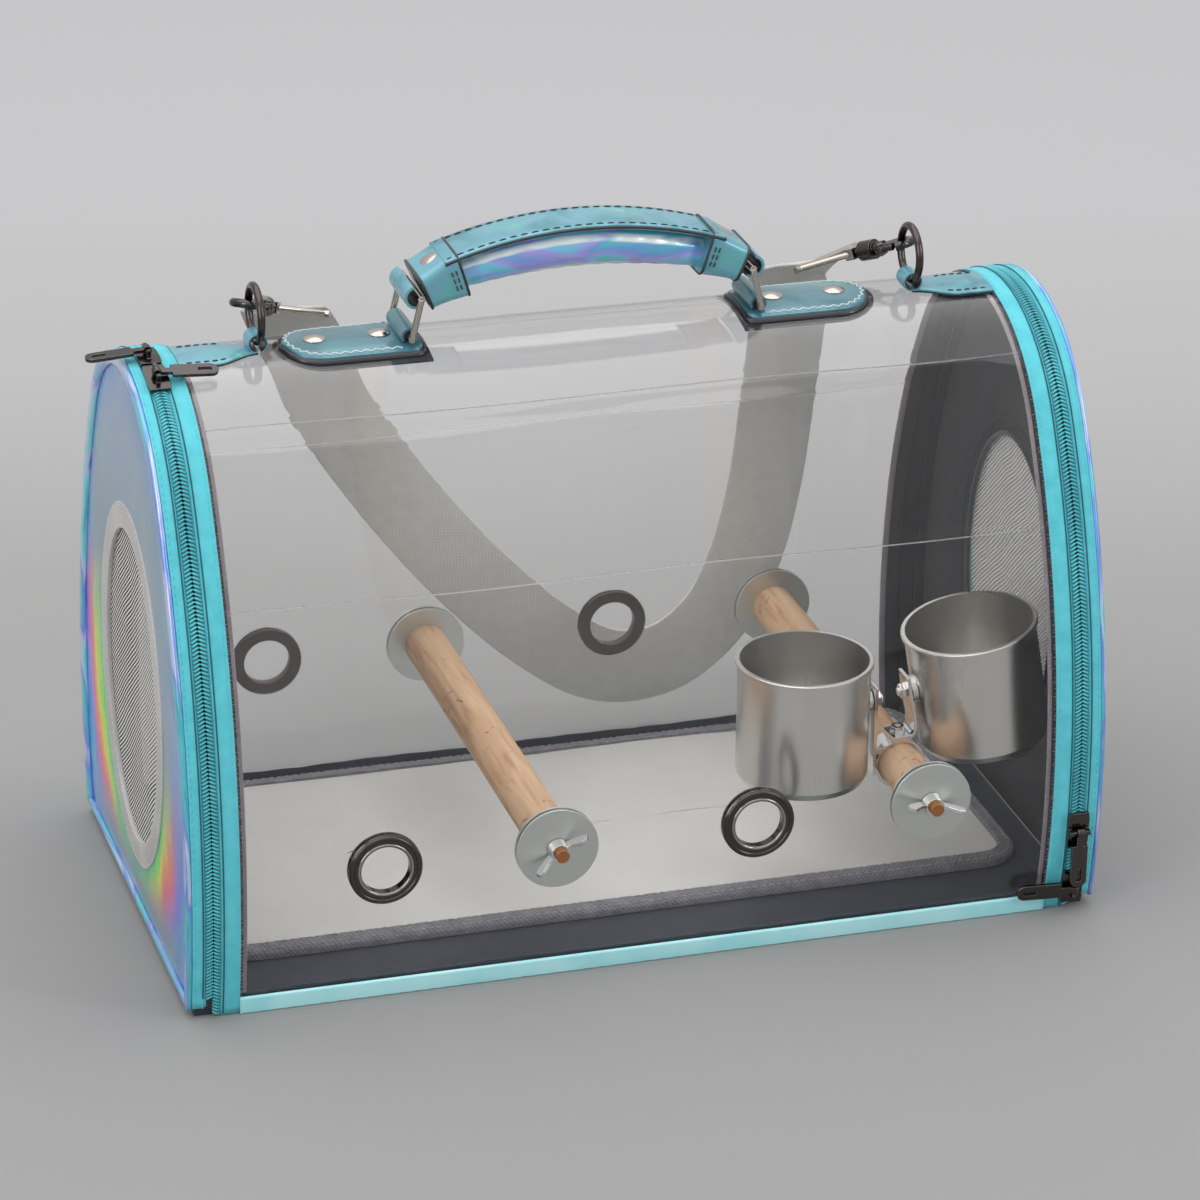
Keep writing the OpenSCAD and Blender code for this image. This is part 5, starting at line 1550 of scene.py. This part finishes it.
@dataclass
class Handle:
    """The bowed handle: a padded roll under a stitched strap, with a cuff round each wire loop."""

    middle: float = -5 * MM
    bow_r: float = 182 * MM
    bow_z: float = 118.03 * MM
    roll_r: float = 10 * MM
    cuff_turn: float = 18.25
    grip_turn: float = 24.45
    grip_up: float = 3 * MM
    strap_half: float = 13.4 * MM
    cuff_half: float = 13.9 * MM
    strap_lo: float = 9.6 * MM
    strap_hi: float = 12.35 * MM

    def bow(self, degrees: float, out: float, y: float = 0.0) -> Vector:
        """A point at an angle from the bow's middle, a distance out from its radius, and at a depth."""
        a = math.radians(degrees)
        return Vector((self.middle + (self.bow_r + out) * math.sin(a), y, self.bow_z + (self.bow_r + out) * math.cos(a)))

    def outward(self, degrees: float) -> Vector:
        """The direction away from the bow's centre."""
        return Vector((math.sin(math.radians(degrees)), 0, math.cos(math.radians(degrees))))

    def roll(self) -> bpy.types.Object:
        """Build the padded roll, fullest in its middle, with gathers towards the cuffs."""
        rows = []
        count, sides = 90, 40
        for i in range(count + 1):
            t = 2 * i / count - 1
            degrees = (self.cuff_turn + 1.2) * t
            full = 0.66 + 0.34 * (1 - abs(t) ** 2.4)
            row = []
            for k in range(sides):
                turn = 2 * math.pi * k / sides
                gather = 0.3 * MM * math.sin(turn * 9 + t * 3) * abs(t) ** 3 + 0.12 * MM * math.sin(t * 41 + turn * 2)
                seam = 0.7 * MM * math.exp(-((turn - 4.25) / 0.09) ** 2)
                r = self.roll_r * full * 0.985 + gather - seam
                flat = min(r * math.sin(turn), self.roll_r * 0.97)
                row.append(self.bow(degrees, flat, r * 1.12 * math.cos(turn)))
            rows.append(row)
        made = Mesh("padded_grip").add_rows(rows, around=True, ends=True).make()
        ROLL_FILM.dress(made)
        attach(made, "handle")
        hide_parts("handle_roll")
        return made

    def strap(self) -> bpy.types.Object:
        """Build the flat strap over the roll, crowned between its two rows of stitches."""
        h = self.strap_half
        reach = self.cuff_turn + 1.0
        rows = []
        for i in range(101):
            degrees = reach * (2 * i / 100 - 1)
            row = []
            for y, out in rounded([(-h, self.strap_lo), (h, self.strap_lo), (h, self.strap_hi), (-h, self.strap_hi)],
                                  0.9 * MM, 3):
                row.append((y, out))
            top = [(h * (0.88 - 1.76 * k / 12), self.strap_hi) for k in range(13)]
            outline = [p for p in row if p[1] < self.strap_hi - 0.01 * MM] + top
            line = []
            for y, out in outline:
                if out > self.strap_lo + 1.2 * MM:
                    groove = 0.5 * MM * math.exp(-((abs(y) - h + 2.4 * MM) / (0.8 * MM)) ** 2)
                    out -= groove + 0.15 * MM * (abs(y) / h) ** 2
                line.append(self.bow(degrees, out, y))
            rows.append(line)
        made = Mesh("handle_top_strap").add_rows(rows, around=True, ends=True).make()
        STRAP_FILM.dress(made)
        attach(made, "handle")
        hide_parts("handle_strap")
        thread = Mesh("handle_strap_stitches")
        edge = Mesh("handle_strap_edges")
        for side in (-1, 1):
            y = side * (h - 2.4 * MM)
            seam = [(self.bow(reach * (2 * i / 60 - 1), self.strap_hi - 0.35 * MM, y),
                     self.outward(reach * (2 * i / 60 - 1))) for i in range(61)]
            stitch_line(thread, seam, 3.4 * MM, 1.5 * MM, 0.42 * MM)
            edge.add_tube([self.bow(reach * (2 * i / 60 - 1), (self.strap_lo + self.strap_hi) / 2, side * (h - 0.1 * MM))
                           for i in range(61)], 0.75 * MM, sides=8)
        for mesh, finish in ((thread, DARK_THREAD), (edge, BLACK_EDGE_AND_SHADE)):
            piece = mesh.make()
            finish.dress(piece)
            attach(piece, "handle")
        return made

    def cuff_span(self, degrees: float) -> tuple[float, float]:
        """The lowest and highest distance out of the cuff at an angle, before its fold."""
        start, stop = self.cuff_turn - 0.9, self.grip_turn - 1.3
        t = min(1.0, max(0.0, (degrees - start) / (stop - start)))
        ease = t * t * (3 - 2 * t)
        return (-7.6 + 1.4 * ease) * MM, (12.9 - 2.7 * ease) * MM

    def cuff(self, sign: int) -> None:
        """Build one cuff: its sleeve, its seams and the open fold round the wire.

        Args:
            sign: -1 for the left end and 1 for the right.
        """
        side = "left" if sign < 0 else "right"
        start, stop = self.cuff_turn - 0.9, self.grip_turn - 1.3
        rows = []
        for i in range(17):
            degrees = start + (stop - start) * i / 16
            low, high = self.cuff_span(degrees)
            half = self.cuff_half - 0.5 * MM * math.sin(math.pi * i / 16)
            corner = min(4.5 * MM, (high - low) * 0.42)
            ring = rounded([(-half, low), (half, low), (half, high), (-half, high)], corner, 5)
            rows.append([self.bow(sign * degrees, out, y) for y, out in ring])
        mesh = Mesh(f"{side}_cuff_sleeve").add_rows(rows, around=True, ends=True)
        made = (mesh if sign > 0 else mesh.flip()).make()
        STRAP_FILM.dress(made)
        crease_edges(made, 50)
        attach(made, "handle")
        low, high = self.cuff_span(stop)
        # A dark plate over the sleeve's open end paints the shade in the hollow, over the film's dark underside.
        mouth = rounded([(2 * MM - self.cuff_half, low + 1.5 * MM), (self.cuff_half - 2 * MM, low + 1.5 * MM),
                         (self.cuff_half - 2 * MM, high - 1.5 * MM), (2 * MM - self.cuff_half, high - 1.5 * MM)],
                        3 * MM, 4)
        rows = [[self.bow(sign * degrees, out, y) for y, out in mouth] for degrees in (stop - 0.3, stop + 0.12)]
        mesh = Mesh(f"{side}_cuff_mouth").add_rows(rows, around=True, ends=True)
        dark = (mesh if sign > 0 else mesh.flip()).make()
        BLACK_EDGE_AND_SHADE.dress(dark)
        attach(dark, "handle")
        edge = Mesh(f"{side}_cuff_edges")
        thread = Mesh(f"{side}_cuff_stitches")
        for degrees, radius in ((start + 0.1, 0.6 * MM), (stop - 0.15, 0.7 * MM)):
            low, high = self.cuff_span(degrees)
            ring = rounded([(-self.cuff_half, low), (self.cuff_half, low), (self.cuff_half, high),
                            (-self.cuff_half, high)], min(4.5 * MM, (high - low) * 0.42), 5)
            edge.add_tube([self.bow(sign * degrees, out, y) for y, out in ring], radius, sides=7, closed=True)
        for degrees in (start + 0.9, start + 1.5):
            low, high = self.cuff_span(degrees)
            for y in (-self.cuff_half - 0.02 * MM, self.cuff_half + 0.02 * MM):
                seam = [(self.bow(sign * degrees, low + (high - low) * (0.2 + 0.6 * k / 6), y),
                         Vector((0, math.copysign(1, y), 0))) for k in range(7)]
                stitch_line(thread, seam, 2.4 * MM, 1.0 * MM, 0.3 * MM)
        centre = self.bow(sign * self.grip_turn, self.grip_up)
        out_dir = self.outward(sign * self.grip_turn)
        along = Vector((sign * math.cos(math.radians(self.grip_turn)), 0, -math.sin(math.radians(self.grip_turn))))
        half = self.cuff_half - 0.6 * MM
        fold, lining = [], []
        for k in range(25):
            turn = math.radians(-100 + 200 * k / 24)
            ray = along * math.cos(turn) + out_dir * math.sin(turn)
            fold.append([centre + ray * r + Vector((0, y, 0)) for y, r in
                         ((-half, 4.1 * MM), (-half, 5.3 * MM), (-half * 0.5, 5.45 * MM), (half * 0.5, 5.45 * MM),
                          (half, 5.3 * MM), (half, 4.1 * MM))])
            lining.append([centre + ray * r + Vector((0, y, 0)) for y, r in
                           ((-half + 0.2 * MM, 3.5 * MM), (-half + 0.2 * MM, 4.15 * MM),
                            (half - 0.2 * MM, 4.15 * MM), (half - 0.2 * MM, 3.5 * MM))])
        for name, rows, finish in ((f"{side}_cuff_fold", fold, STRAP_FILM), (f"{side}_cuff_fold_lining", lining, BLACK_EDGE_AND_SHADE)):
            mesh = Mesh(name).add_rows(rows, around=True, ends=True)
            piece = (mesh if sign > 0 else mesh.flip()).make()
            crease_edges(piece, 50)
            finish.dress(piece)
            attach(piece, "handle")
        for mesh, finish in ((edge, BLACK_EDGE_AND_SHADE), (thread, DARK_THREAD)):
            piece = mesh.make()
            finish.dress(piece)
            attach(piece, "handle")

    def build(self) -> None:
        """Build the whole handle."""
        self.roll()
        self.strap()
        for sign in (-1, 1):
            self.cuff(sign)
        LOG.info("handle: padded grip, strap and two cuffs")


@dataclass
class TopTabs:
    """The tongues that anchor the handle, and the narrower straps that hold the two rings."""

    pins: tuple[float, float] = (-84.5 * MM, 74.5 * MM)
    pin_z: float = 268.67 * MM
    tab_in: float = 6.5 * MM
    tab_len: float = 62.0 * MM
    tab_half: float = 19 * MM
    tab_t: float = 2.8 * MM
    knuckle_r: float = 4.1 * MM
    knuckle_half: float = 13 * MM
    ring_x: float = 150 * MM
    ring_z: float = 268.65 * MM
    ring_tab_t: float = 1.6 * MM
    ring_tab_half: float = 12.5 * MM
    tape_in: float = 186 * MM

    def crown(self, x: float, y: float, out: float) -> Vector:
        """The point over (x, y) that lies a distance out from the top arc."""
        r = SECTION.top_r + out
        return Vector((x, y, SECTION.top_z + math.sqrt(max(1e-9, r * r - y * y))))

    def tongue(self, name: str, sign: int, inset: float, low: float, high: float,
               finish: Finish) -> bpy.types.Object:
        """Build one layer of a handle tab, round at its outer end.

        Args:
            name: The piece's name.
            sign: -1 for the left tab and 1 for the right.
            inset: How far its edge lies inside the tab's.
            low: Distance out of its underside.
            high: Distance out of its top.
            finish: Its finish.

        Returns:
            The layer.
        """
        pin = self.pins[0] if sign < 0 else self.pins[1]
        tip = pin + sign * (self.tab_len - self.tab_in - inset)
        root = pin - sign * (self.tab_in - inset)
        half = self.tab_half - inset
        across, along = 20, 44
        rows = []
        for i in range(along + 1):
            t = i / along
            t = t if t < 0.5 else 0.5 + (1 - math.cos((t - 0.5) * math.pi)) * 0.5
            x = root + (tip - root) * t
            back = abs(tip - x)
            wide = half * math.sqrt(max(0.0, 1 - max(0.0, 1 - back / half) ** 2.3))
            root_gap = abs(x - root)
            wide = min(wide, half - 3 * MM * max(0.0, 1 - root_gap / (3 * MM)) ** 2)
            wide = max(wide, 0.4 * MM)
            top, under = [], []
            for k in range(across + 1):
                v = 2 * k / across - 1
                edge = min(1.0, (1 - abs(v)) * wide / (0.9 * MM)) ** 0.5
                top.append(self.crown(x, v * wide, low + (high - low) * (0.55 + 0.45 * edge)))
                under.append(self.crown(x, v * wide, low))
            rows.append(top + under[::-1])
        mesh = Mesh(name).add_rows(rows, around=True, ends=True)
        made = (mesh.flip() if sign > 0 else mesh).make()
        finish.dress(made)
        crease_edges(made, 60)
        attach(made, "carrier")
        return made

    def edge_path(self, sign: int, inset: float, out: float) -> list[tuple[Vector, Vector]]:
        """The seam round a tab, from its inner end round the tip and back, with normals."""
        pin = self.pins[0] if sign < 0 else self.pins[1]
        half = self.tab_half - inset
        centre = pin + sign * (self.tab_len - self.tab_in - self.tab_half)
        start = pin + sign * 4 * MM
        flat = [(start + (centre - start) * k / 14, half) for k in range(15)]
        turn = [(centre + sign * half * math.sin(math.pi * k / 24), half * math.cos(math.pi * k / 24))
                for k in range(1, 24)]
        back = [(x, -y) for x, y in reversed(flat)]
        made = []
        for x, y in flat + turn + back:
            made.append((self.crown(x, y, out), Vector((0, y, SECTION.top_r)).normalized()))
        return made

    def handle_tab(self, sign: int) -> None:
        """Build one handle tab with its rim, stitches and the knuckle round the loop's pin."""
        side = "left" if sign < 0 else "right"
        base = self.tongue(f"{side}_tab_rim", sign, 0.0, 0.02 * MM, 1.5 * MM, BLACK_EDGE_AND_SHADE)
        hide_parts(f"{side}_handle_tab")
        self.tongue(f"{side}_tab_film", sign, 1.3 * MM, 1.4 * MM, 2.75 * MM, TAB_FILM)
        thread = Mesh(f"{side}_tab_stitches")
        rows = [self.edge_path(sign, inset, 2.75 * MM) for inset in (2.6 * MM, 4.1 * MM)]
        zigzag = [rows[i % 2][i][0] for i in range(len(rows[0]))]
        thread.add_tube(zigzag, 0.38 * MM, sides=6)
        piece = thread.make()
        PALE_THREAD.dress(piece)
        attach(piece, "carrier")
        pin = self.pins[0] if sign < 0 else self.pins[1]
        h = self.knuckle_half
        wrap, inner = [], []
        for k in range(25):
            turn = math.radians(-35 + 250 * k / 24)
            ray = Vector((sign * -math.cos(turn), 0, math.sin(turn)))
            centre = Vector((pin, 0, self.pin_z))
            wrap.append([centre + ray * r + Vector((0, y, 0)) for y, r in
                         ((-h, 2.9 * MM), (-h, 3.9 * MM), (-h * 0.5, 4.1 * MM), (h * 0.5, 4.1 * MM), (h, 3.9 * MM), (h, 2.9 * MM))])
            inner.append([centre + ray * r + Vector((0, y, 0)) for y, r in
                          ((-h + 0.2 * MM, 1.85 * MM), (-h + 0.2 * MM, 2.95 * MM), (h - 0.2 * MM, 2.95 * MM),
                           (h - 0.2 * MM, 1.85 * MM))])
        for name, rows, finish in ((f"{side}_tab_fold", wrap, TAB_FILM), (f"{side}_tab_fold_lining", inner, BLACK_EDGE_AND_SHADE)):
            mesh = Mesh(name).add_rows(rows, around=True, ends=True)
            made = (mesh if sign < 0 else mesh.flip()).make()
            crease_edges(made, 50)
            finish.dress(made)
            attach(made, "carrier")

    def ring_tab(self, sign: int) -> None:
        """Build one ring tab: a strap from the zip, necked in and folded up round its ring."""
        side = "left" if sign < 0 else "right"
        fold_r = 4.6 * MM
        for name, low, high, grow, finish in (("ring_tab_rim", 0.02, 0.75, 0.25, BLACK_EDGE_AND_SHADE),
                                              ("ring_tab_film", 0.7, 1.6, 0.0, STRAP_FILM)):
            rows = []
            for i in range(33):
                t = i / 32
                x = self.ring_x + (self.tape_in - self.ring_x) * t
                ease = min(1.0, max(0.0, (x - self.ring_x) / (20 * MM)))
                ease = ease * ease * (3 - 2 * ease)
                wide = (5 + 7.5 * ease) * MM + grow * MM
                row = []
                for k in range(13):
                    v = 2 * k / 12 - 1
                    out = high - 0.25 * (high - low) * abs(v) ** 6 + 0.06 * math.sin(t * 11 + v * 2)
                    row.append(self.crown(sign * x, v * wide, out * MM))
                under = [self.crown(sign * x, (1 - 2 * k / 12) * wide, low * MM) for k in range(13)]
                rows.append(row + under)
            mesh = Mesh(f"{side}_{name}").add_rows(rows, around=True, ends=True)
            made = (mesh if sign < 0 else mesh.flip()).make()
            crease_edges(made, 60)
            finish.dress(made)
            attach(made, "carrier")
            if grow:
                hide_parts(f"{side}_ring_tab")
        thread = Mesh(f"{side}_ring_tab_stitches")
        for v in (-0.8, 0.8):
            seam = []
            for i in range(20):
                x = self.ring_x + 14 * MM + (self.tape_in - self.ring_x - 16 * MM) * i / 19
                ease = min(1.0, (x - self.ring_x) / (20 * MM))
                y = v * (5 + 7.5 * ease * ease * (3 - 2 * ease)) * MM
                seam.append((self.crown(sign * x, y, 1.55 * MM), Vector((0, y, SECTION.top_r)).normalized()))
            stitch_line(thread, seam, 2.6 * MM, 1.2 * MM, 0.3 * MM)
        sewn = thread.make()
        DARK_THREAD.dress(sewn)
        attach(sewn, "carrier")
        for name, r_in, r_out, finish in (("ring_tab_fold", 3.85, 4.6, STRAP_FILM), ("ring_tab_fold_lining", 3.3, 3.9, BLACK_EDGE_AND_SHADE)):
            rows = []
            for k in range(31):
                turn = math.radians(-70 + 320 * k / 30)
                ray = Vector((-sign * math.cos(turn), 0, math.sin(turn)))
                centre = Vector((sign * self.ring_x, 0, self.ring_z))
                rows.append([centre + ray * r * MM + Vector((0, y * MM, 0)) for y, r in
                             ((-5, r_in), (-5, r_out - 0.2), (-3, r_out), (3, r_out), (5, r_out - 0.2), (5, r_in))])
            mesh = Mesh(f"{side}_{name}").add_rows(rows, around=True, ends=True)
            made = (mesh if sign > 0 else mesh.flip()).make()
            crease_edges(made, 50)
            finish.dress(made)
            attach(made, "carrier")

    def build(self) -> None:
        """Build all four tabs."""
        for sign in (-1, 1):
            self.handle_tab(sign)
            self.ring_tab(sign)
        LOG.info("tabs: two for the handle, two for the rings")


@dataclass
class FloorMat:
    """The loose padded mat on the base board, with its stitched binding."""

    left: float = -188 * MM
    right: float = 192 * MM
    front: float = -68.6 * MM
    back: float = 102.3 * MM
    base: float = 3.7 * MM
    thick: float = 4.9 * MM
    corner: float = 18 * MM
    binding: float = 8 * MM

    def loop(self, inset: float, count: int = 260) -> list[Vector]:
        """Points round the mat's edge, moved in by a distance."""
        x0, x1, y0, y1 = self.left + inset, self.right - inset, self.front + inset, self.back - inset
        r = max(self.corner - inset, 2 * MM)
        corners = ((x1 - r, y1 - r, 0), (x0 + r, y1 - r, 90), (x0 + r, y0 + r, 180), (x1 - r, y0 + r, 270))
        made: list[Vector] = []
        for cx, cy, start in corners:
            for k in range(9):
                a = math.radians(start + 90 * k / 8)
                made.append(Vector((cx + r * math.cos(a), cy + r * math.sin(a), 0)))
        made.append(made[0].copy())
        reach = [0.0]
        for a, b in zip(made, made[1:]):
            reach.append(reach[-1] + (b - a).length)
        spread, i = [], 1
        for k in range(count):
            d = reach[-1] * k / count
            while reach[i] < d:
                i += 1
            t = (d - reach[i - 1]) / (reach[i] - reach[i - 1])
            spread.append(made[i - 1].lerp(made[i], t))
        return spread

    def surface(self, x: float, y: float) -> float:
        """Height of the mat's soft top at a place."""
        wave = math.sin(x * 27 + y * 13) * math.sin(y * 31 - x * 8) + 0.6 * math.sin(x * 61 + y * 44)
        return self.base + self.thick * 0.80 + 0.3 * MM * wave

    def pad(self) -> bpy.types.Object:
        """Build the pad, soft on top and pulled down at its binding."""
        rings = 26
        rows = []
        for k in range(rings + 1):
            t = k / rings
            inset = (self.back - self.front) / 2 * (1 - t) ** 1.25 * 0.985
            row = []
            for point in self.loop(inset):
                from_edge = inset
                fall = min(1.0, from_edge / (9 * MM)) ** 0.6
                z = self.surface(point.x, point.y) * fall + (self.base + 2.2 * MM) * (1 - fall)
                row.append(Vector((point.x, point.y, z)))
            rows.append(row)
        edge = self.loop(0.3 * MM)
        rows.append([Vector((p.x, p.y, self.base + 1.0 * MM)) for p in edge])
        rows.append([Vector((p.x, p.y, self.base)) for p in self.loop(0.8 * MM)])
        made = Mesh("mat_pad").add_rows(rows, around=True, ends=True).make()
        MAT.dress(made)
        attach(made, "mat")
        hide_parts("floor_mat")
        return made

    def bind(self) -> None:
        """Build the binding tape folded over the edge, and its rows of stitches."""
        outline = rounded([(0.0, 0.1), (0.0, 3.4), (3.0, 4.6), (7.6, 4.9), (8.0, 4.3), (8.0, 3.4)], 0.8, 3)
        rows = []
        rings = [self.loop(max(0.0, inset * MM)) for inset, _ in outline]
        for i in range(len(rings[0])):
            tug = 0.22 * MM * math.sin(i * 2.3)
            rows.append([Vector((ring[i].x, ring[i].y, self.base + up * MM + (tug if up > 3 else 0)))
                         for ring, (_, up) in zip(rings, outline)])
        rows.append(rows[0])
        made = Mesh("mat_binding").add_rows(rows, around=True).make()
        MAT_EDGE.dress(made)
        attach(made, "mat")
        thread = Mesh("mat_stitches")
        for inset, up in ((2.2, 4.25), (6.8, 4.85)):
            ring = self.loop(inset * MM)
            seam = [(Vector((p.x, p.y, self.base + up * MM)), Vector((0, 0, 1))) for p in ring + ring[:1]]
            stitch_line(thread, seam, 2.6 * MM, 1.2 * MM, 0.34 * MM)
        sewn = thread.make()
        Cloth("Light mat thread", srgb(176, 176, 182), srgb(132, 132, 140), threads=3000, relief=0.00005).dress(sewn)
        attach(sewn, "mat")

    def build(self) -> None:
        """Build the mat."""
        self.pad()
        self.bind()
        LOG.info("floor mat: pad, binding and stitches")


@dataclass
class Hardware:
    """The solids that are right as they are, and the finish that each of them wears."""

    nodes: tuple[tuple[str, Finish], ...] = (
        ("base_board", BOARD), ("tab_backings", BACKING), ("tab_rivets", NICKEL), ("cuff_rivets", NICKEL),
        ("eyelets", GUNMETAL), ("perch_studs", BRASS), ("perch_washers", ZINC), ("left_perch", WOOD),
        ("right_perch", WOOD), ("left_ring", GUNMETAL), ("right_ring", GUNMETAL), ("left_hook", GUNMETAL),
        ("right_hook", GUNMETAL), ("left_hook_eye", NICKEL), ("right_hook_eye", NICKEL), ("left_gate", GUNMETAL),
        ("right_gate", GUNMETAL), ("left_loop", NICKEL), ("right_loop", NICKEL), ("left_cup", STEEL),
        ("right_cup", STEEL), ("cup_clamp", CHROME), ("clamp_screws", CHROME), ("wing_nut_left_front", CHROME),
        ("wing_nut_left_rear", CHROME), ("wing_nut_right_front", CHROME), ("wing_nut_right_rear", CHROME),
        ("left_front_slider", GUNMETAL), ("left_rear_slider", GUNMETAL), ("right_upper_slider", GUNMETAL),
        ("right_lower_slider", GUNMETAL), ("left_front_pull", GUNMETAL), ("left_rear_pull", GUNMETAL),
        ("right_upper_pull", GUNMETAL), ("right_lower_pull", GUNMETAL))

    def build(self) -> None:
        """Dress each kept solid, and shade its round faces smooth."""
        for name, finish in self.nodes:
            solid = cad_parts[name]
            finish.dress(solid)
            crease_edges(solid, 30)
        LOG.info("hardware: %d solids dressed", len(self.nodes))


def main() -> None:
    """Build the camera and the strap first, then every sub-assembly."""
    logging.basicConfig(level=logging.INFO, format="%(name)s: %(message)s")
    studio = Studio()
    studio.camera()
    ShoulderStrap().build()
    studio.floor()
    studio.light()
    Hardware().build()
    TunnelCover().build()
    for end in End:
        ZipRun(end).build()
        EndDoor(end).build()
    Handle().build()
    TopTabs().build()
    FloorMat().build()


if __name__ == "__main__":
    main()
